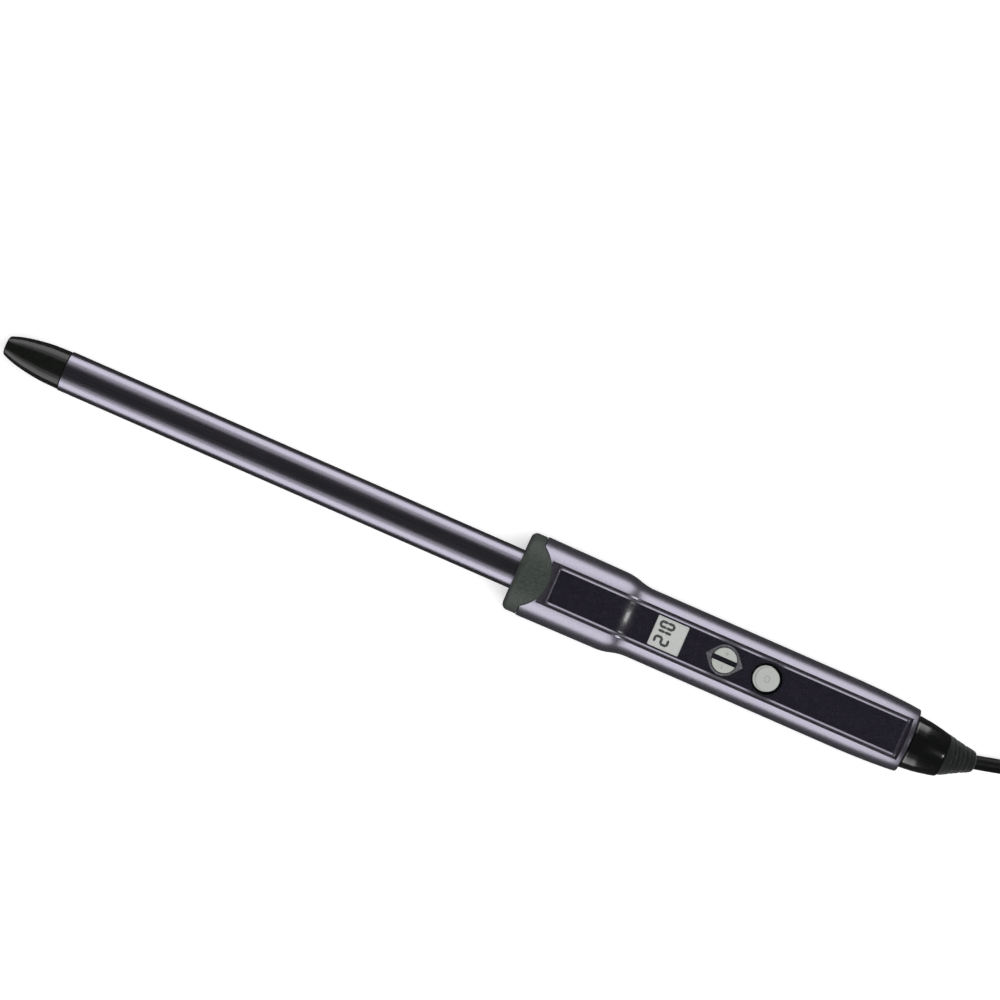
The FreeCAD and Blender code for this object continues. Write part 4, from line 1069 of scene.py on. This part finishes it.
def make_boot():
    """The rubber strain relief: rings of short bars, each ring turned half a bar on the last."""
    base, length, front, bore, columns = 8.1, 16.6, -4.0, 2.85, 160
    line = [(2.6, base - 0.1), (4.4, base), (8.3, 6.75), (12.0, 5.5), (14.6, 4.7), (15.9, 4.25)]
    line = [Vector((front, 4.9)), Vector((2.0, 4.9)), *through(line, 10)]
    line += [Vector(p) for p in ((16.35, 3.9), (length, 3.4), (length, bore), (front, bore))]
    fine = []
    for a, b in zip(line, line[1:]):
        steps = max(1, round((b - a).length / 0.16)) if 4.4 <= a.x < 15.6 and b.x > a.x else 1
        fine += [a.lerp(b, i / steps) for i in range(steps)]
    fine.append(line[-1])
    matrix = boot_matrix()
    rows = []
    for s, radius in fine:
        row = []
        for j in range(columns):
            turn = math.tau * j / columns
            r = radius - boot_groove(s, radius, j / columns)
            row.append(matrix @ Vector((s * MM, r * MM * math.sin(turn), r * MM * math.cos(turn))))
        rows.append(row)
    mesh = skin("boot_skin", rows, close_rows=True)
    finished("boot_skin", mesh, "cord_exit", "boot", 40, replaces=["strain_relief"])


# ---- cord, hank, tie and plug, in millimetres in the frame ----
HANK_FRONT, HANK_BACK, HANK_Y = 251.5, 336.5, -8.0
INNER_TURN, OUTER_TURN = 16.8, 22.4
LAYERS = (3.6, 9.2, 14.8)
PLUG_X, PLUG_Y, PLUG_Z = 292.0, 4.0, 25.25


def hank_points():
    """The folded turns: five whole ones and a last run, wound clockwise from above."""
    turns = [
        (OUTER_TURN, 0), (INNER_TURN, 0), (INNER_TURN, 1), (OUTER_TURN, 1), (INNER_TURN, 2),
        (OUTER_TURN, 2),
    ]
    # A control point lies a little outside the fold that it draws.
    out = 1 / math.cos(math.pi / 12)
    shares = [(step + 0.5) / 6 for step in range(6)]
    points = []
    for k, (radius, layer) in enumerate(turns):
        z = LAYERS[layer]
        points.append((HANK_FRONT + 4, HANK_Y + radius, z))
        points.append((HANK_BACK - 2, HANK_Y + radius, z))
        for share in shares:
            turn = math.pi * share
            x, y = radius * out * math.sin(turn), radius * out * math.cos(turn)
            points.append((HANK_BACK + x, HANK_Y + y, z))
        points.append((HANK_BACK - 2, HANK_Y - radius, z))
        if k == len(turns) - 1:
            break
        points.append((HANK_FRONT + 4, HANK_Y - radius, z))
        next_radius, next_layer = turns[k + 1]
        for share in shares:
            turn = math.pi * share
            r = (radius + (next_radius - radius) * share) * out
            height = z + (LAYERS[next_layer] - z) * share
            points.append((HANK_FRONT - r * math.sin(turn), HANK_Y - r * math.cos(turn), height))
    return points


def cord_points():
    """The whole way of the lead: out of the boot, down to the hank, round it and up to the plug."""
    lead = [CORD_EXIT, (211.8, 4.7, 9.7), (221.8, 7.2, 6.2), (231.4, 10.4, 3.7), (241.2, 13.4, 3.1)]
    side, top, turn = HANK_Y - OUTER_TURN, LAYERS[2], 17.2
    tail = [(HANK_FRONT + 12, side, top), (HANK_FRONT, side + 0.2, top + 0.6)]
    for step in range(1, 6):
        angle = math.pi * step / 6
        rise = top + 1.2 + (PLUG_Z - top - 2.0) * step / 6
        tail.append((HANK_FRONT - 2 - turn * math.sin(angle), -13.2 - turn * math.cos(angle), rise))
    tail += [(HANK_FRONT + 4, PLUG_Y - 0.2, PLUG_Z - 0.4), (PLUG_X - 22.0, PLUG_Y, PLUG_Z)]
    return lead + hank_points() + tail


def make_tie():
    """The strap round the hank: a flat band with eased edges."""
    high_z, half, x1, width, thickness = 18.4, 26.0, 298.25, 12.0, 0.8
    y1, y2, x2 = HANK_Y - half, HANK_Y + half, x1 + width
    outer = rounded_outline(rectangle(y1, y2, 0.0, high_z), 3.3, 8)
    hollow = rectangle(y1 + thickness, y2 - thickness, thickness, high_z - thickness)
    inner = rounded_outline(hollow, 2.5, 8)
    centre = Vector((HANK_Y, high_z / 2))
    rows = []
    for x, outline, pull in (
        (x1, outer, 0.15), (x1 + 0.25, outer, 0.0), (x2 - 0.25, outer, 0.0), (x2, outer, 0.15),
        (x2, inner, -0.1), (x1, inner, -0.1),
    ):
        pulled = [p - (p - centre).normalized() * pull for p in outline]
        rows.append([Vector((x * MM, q.x * MM, q.y * MM)) for q in pulled])
    mesh = skin("tie_strap", rows, close_rows=True)
    return finished("tie_strap", mesh, "cord_exit", "strap", replaces=["cord_tie"])


def plug_body():
    """The flat case of the plug: a narrow neck that widens to a shouldered face."""
    half, neck, front = 17.65, 7.0, PLUG_X + 35.0
    side = [(PLUG_X, neck), (front - 22, half), (front - 9, half), (front, half - 4.5)]
    corners = [(x, -y) for x, y in side] + side[::-1]
    outline = rounded_outline([(x - FRONT_X / MM, y) for x, y in corners], 2.2, 6)
    z, thick = PLUG_Z - AXIS_Z / MM, 6.85
    levels = rounded_levels(z - thick, z + thick, 2.0, 6, below=2.0)
    body = stacked("plug_case", outline, levels, (0, PLUG_Y))
    return finished("plug_case", body, "cord_exit", "plug", replaces=["plug_body"])


def plug_pins():
    """Both round pins, metal at their ends and sleeved at their roots."""
    metal = softened([(-5, 0), (-5, 1.5), (9.8, 1.5), (10.0, 1.96), (19.0, 1.96, 1.2), (19.0, 0)], 6)
    cover = softened([(-0.5, 1.55), (-0.5, 2.0), (10.0, 2.0, 0.15), (10.0, 1.55), (-0.5, 1.55)], 3)
    pins, sleeves = [], []
    for sign in (-1, 1):
        root = Vector((PLUG_X + 35.0, PLUG_Y + sign * 9.3, PLUG_Z))
        matrix = Matrix.Translation(root * MM)
        pins.append(lathed("pin", metal, "pin", 48, matrix))
        sleeves.append(lathed("sleeve", cover, "plug", 48, matrix))
    pins, sleeves = joined("plug_pin_pair", pins), joined("plug_pin_sleeves", sleeves)
    return (
        finished("plug_pin_pair", pins, "cord_exit", "pin", replaces=["plug_pins"]),
        finished("plug_pin_sleeves", sleeves, "cord_exit", "plug"),
    )


def plug_relief():
    """The plug's own strain relief: a thin cone with rounded rings on it."""
    matrix = Matrix.Translation(Vector((PLUG_X, PLUG_Y, PLUG_Z)) * MM) @ Matrix.Rotation(math.pi, 4, "Z")
    end, bore = 24.0, 2.7
    taper = [(-1, 4.6), (end - 0.5, 3.2), (end, 3.1), (end, bore + 0.05), (end - 1, bore)]
    core = lathed("relief_core", [Vector(p) for p in [*taper, taper[0]]], "plug", 64, matrix)
    tree, names = rings_tree()
    at = [1.5 + 2.1 * i for i in range(11)]
    line = [(s * MM, 0, (4.55 - 0.057 * s) * MM) for s in at]
    values = {"Thickness": 0.55 * MM, "Columns": 48, "Finish": MATERIALS["plug"]}
    rings = evaluated("relief_rings", line, tree, names, values)
    rings.transform(matrix)
    whole = joined("plug_relief_skin", [core, cleaned(rings)])
    return finished(
        "plug_relief_skin", whole, "cord_exit", "plug", replaces=["plug_relief"]
    )


def make_cord(sizes):
    """The lead itself, one smooth line from the boot to the plug."""
    curve = bpy.data.curves.new("mains_cord", "CURVE")
    curve.dimensions = "3D"
    spline = curve.splines.new("NURBS")
    points = cord_points()
    spline.points.add(len(points) - 1)
    for target, point in zip(spline.points, points):
        target.co = (*[v * MM for v in point], 1)
    spline.order_u = 3
    spline.use_endpoint_u = True
    spline.resolution_u = 6
    curve.bevel_depth = sizes.cord_diameter / 2
    curve.bevel_resolution = 6
    curve.use_fill_caps = True
    curve.materials.append(MATERIALS["cord"])
    cord = bpy.data.objects.new("mains_cord", curve)
    bpy.context.scene.collection.objects.link(cord)
    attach(cord, "cord_exit")
    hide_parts("cord", "cord_hank", "cord_tail")
    return cord


INNER_FINISHES = {
    "plain_aluminium": ("#B9BABC", 0.6, {"Metallic": 1.0, "Roughness": 0.35}),
    "ceramic_white": ("#E6E1D6", 0.8, {"Roughness": 0.5}),
    "steel_zinc": ("#B4B6B8", 0.4, {"Metallic": 1.0, "Roughness": 0.3}),
    "contact_metal": ("#C6A468", 0.4, {"Metallic": 1.0, "Roughness": 0.28}),
    "board_green": ("#121C16", 0.5, {"Roughness": 0.35}),
    "component_black": ("#1A1A1B", 0.5, {"Roughness": 0.5}),
    "component_yellow": ("#C9A427", 0.5, {"Roughness": 0.4}),
    "nylon_natural": ("#D8D3C2", 0.6, {"Roughness": 0.55}),
    "silicone_wire": ("#A33A2E", 0.6, {"Roughness": 0.5}),
    "display_silver": ("#C4C6C4", 0.5, {"Roughness": 0.4}),
}


def finish_inner_pieces():
    """Gives each hidden design node the procedural finish of its slot."""
    made = {}
    for part in frame["record"]["subparts"]:
        slot_name, node = part["material_slot"], frame["nodes"].get(part["node"])
        if slot_name not in INNER_FINISHES or node is None:
            continue
        if slot_name not in made:
            code, grain, inputs = INNER_FINISHES[slot_name]
            # A quiet grain at the scale of the piece's making.
            made[slot_name] = grained(
                slot_name, linear(code), grain, 0.1, bump=(0.01, 0.5), **inputs
            )
        node.data.materials.clear()
        node.data.materials.append(made[slot_name])


# ---- stage ----
def add_light(name, size_of, power, place_at, aim, glossy=True):
    """A softbox of a width and a height in metres, turned towards a point."""
    data = bpy.data.lights.new(name, "AREA")
    data.shape = "RECTANGLE"
    data.size, data.size_y = size_of
    data.energy = power
    light = bpy.data.objects.new(name, data)
    bpy.context.scene.collection.objects.link(light)
    light.location = place_at
    light.rotation_euler = (Vector(aim) - Vector(place_at)).to_track_quat("-Z", "Y").to_euler()
    light.visible_glossy = glossy


def make_floor(colours):
    """A pale table under the wand, lit a little from below so that its shadows stay faint."""
    floor = bpy.data.objects.new("floor", bpy.data.meshes.new("floor"))
    reach, level = 3.0, -0.0005
    corners = [(x, y, level) for x, y in rectangle(-reach, reach, -reach, reach)]
    floor.data.from_pydata(corners, [], [(0, 1, 2, 3)])
    made, tree, principled = shader("matte_floor", Roughness=0.9)
    varied(tree, principled, stretched(tree, EVEN), 2.0, list(colours.floor)[:3], 0.01)
    principled.inputs["Emission Color"].default_value = (1, 1, 1, 1)
    principled.inputs["Emission Strength"].default_value = 0.42
    floor.data.materials.append(made)
    bpy.context.scene.collection.objects.link(floor)
    floor.visible_glossy = False


def make_stage(colours):
    """The camera straight above, the floor, the faint world light and the softboxes."""
    scene = bpy.context.scene
    camera_data = bpy.data.cameras.new("camera")
    camera = bpy.data.objects.new("camera", camera_data)
    scene.collection.objects.link(camera)
    camera_data.sensor_width = 36.0
    camera_data.lens = 187.0
    camera_data.clip_end = 20.0
    camera.location = (-0.0053, 0.0217, AXIS_Z + 2.0)
    camera.rotation_euler = (0.0, 0.0, math.radians(23.7))
    scene.camera = camera
    make_floor(colours)

    world = bpy.data.worlds.new("studio")
    world.use_nodes = True
    world.node_tree.nodes["Background"].inputs["Color"].default_value = (1, 1, 1, 1)
    world.node_tree.nodes["Background"].inputs["Strength"].default_value = 0.04
    scene.world = world
    scene.view_settings.view_transform = "Standard"

    # Two long softboxes low at the sides, each with a dimmer one over it, give the bands of
    # light along barrel and handle.
    for sign, side in ((-1, "right"), (1, "left")):
        add_light(f"strip_{side}", (2.1, 0.78), 8.6, (-0.55, sign * 1.2, 0.12), (-0.55, 0, 0.12))
        add_light(f"glow_{side}", (2.1, 0.6), 2.3, (-0.55, sign * 1.2, 0.78), (-0.55, 0, 0.3))
    add_light("overhead", (1.6, 1.6), 50.0, (0.5, 0.0, 2.3), (0.0, 0.0, 0.0), glossy=False)
    # A small softbox behind the handle leaves its reflection on the slope of the panel.
    add_light("spot", (0.2, 0.3), 3.0, (1.74, 0.0, 1.85), (0.06, 0.0, 0.03))


# ---- operators ----
class WandPiece:
    """What every operator of this add-on shares."""

    bl_options = {"REGISTER"}

    def execute(self, context):
        self.make(context.scene.wand_sizes, context.scene.wand_colours)
        return {"FINISHED"}


class WAND_OT_stage(WandPiece, bpy.types.Operator):
    """Makes the camera, the floor and the studio light"""

    bl_idname = "wand.stage"
    bl_label = "Stage"

    def make(self, sizes, colours):
        make_stage(colours)


class WAND_OT_materials(WandPiece, bpy.types.Operator):
    """Makes every procedural finish and gives the hidden pieces theirs"""

    bl_idname = "wand.materials"
    bl_label = "Finishes"

    def make(self, sizes, colours):
        prepare_materials(colours)
        finish_inner_pieces()


class WAND_OT_cord(WandPiece, bpy.types.Operator):
    """Makes the mains lead with its hank, tie and plug"""

    bl_idname = "wand.cord"
    bl_label = "Mains lead"

    def make(self, sizes, colours):
        cord = make_cord(sizes)
        with_pieces = [make_tie(), plug_body(), *plug_pins(), plug_relief()]


class WAND_OT_barrel(WandPiece, bpy.types.Operator):
    """Makes the barrel and its cool tip"""

    bl_idname = "wand.barrel"
    bl_label = "Barrel and tip"

    def make(self, sizes, colours):
        make_barrel()
        make_tip()


class WAND_OT_collar(WandPiece, bpy.types.Operator):
    """Makes the matte collar with its arc"""

    bl_idname = "wand.collar"
    bl_label = "Collar"

    def make(self, sizes, colours):
        make_collar(sizes)


class WAND_OT_handle(WandPiece, bpy.types.Operator):
    """Makes both shells of the handle and the inset panel"""

    bl_idname = "wand.handle"
    bl_label = "Handle shells and panel"

    def make(self, sizes, colours):
        make_shells(sizes)
        make_panel(sizes)


class WAND_OT_display(WandPiece, bpy.types.Operator):
    """Makes the display with its window and digits"""

    bl_idname = "wand.display"
    bl_label = "Display"

    def make(self, sizes, colours):
        make_display()


class WAND_OT_keys(WandPiece, bpy.types.Operator):
    """Makes the two keys, the power button and their bezels"""

    bl_idname = "wand.keys"
    bl_label = "Keys and power button"

    def make(self, sizes, colours):
        make_keys()
        make_bezel()
        make_power()


class WAND_OT_cord_exit(WandPiece, bpy.types.Operator):
    """Makes the turning cord exit and its strain relief"""

    bl_idname = "wand.cord_exit"
    bl_label = "Cord exit"

    def make(self, sizes, colours):
        make_hub()
        make_boot()


class WAND_PT_pieces(bpy.types.Panel):
    """Lists the pieces of the wand"""

    bl_idname = "WAND_PT_pieces"
    bl_label = "Curling wand"
    bl_space_type = "VIEW_3D"
    bl_region_type = "UI"
    bl_category = "Wand"

    def draw(self, context):
        for operator in OPERATORS:
            self.layout.operator(operator.bl_idname)
        for group in (context.scene.wand_sizes, context.scene.wand_colours):
            for name in group.__annotations__:
                self.layout.prop(group, name)


OPERATORS = (
    WAND_OT_stage,
    WAND_OT_materials,
    WAND_OT_cord,
    WAND_OT_barrel,
    WAND_OT_collar,
    WAND_OT_handle,
    WAND_OT_display,
    WAND_OT_keys,
    WAND_OT_cord_exit,
)
CLASSES = (WandSizes, WandColours, *OPERATORS, WAND_PT_pieces)


def register():
    for each in CLASSES:
        bpy.utils.register_class(each)
    bpy.types.Scene.wand_sizes = PointerProperty(type=WandSizes)
    bpy.types.Scene.wand_colours = PointerProperty(type=WandColours)


def unregister():
    del bpy.types.Scene.wand_colours
    del bpy.types.Scene.wand_sizes
    for each in reversed(CLASSES):
        bpy.utils.unregister_class(each)


def main():
    register()
    for operator in OPERATORS:
        group, name = operator.bl_idname.split(".")
        getattr(getattr(bpy.ops, group), name)()


if __name__ == "__main__":
    main()
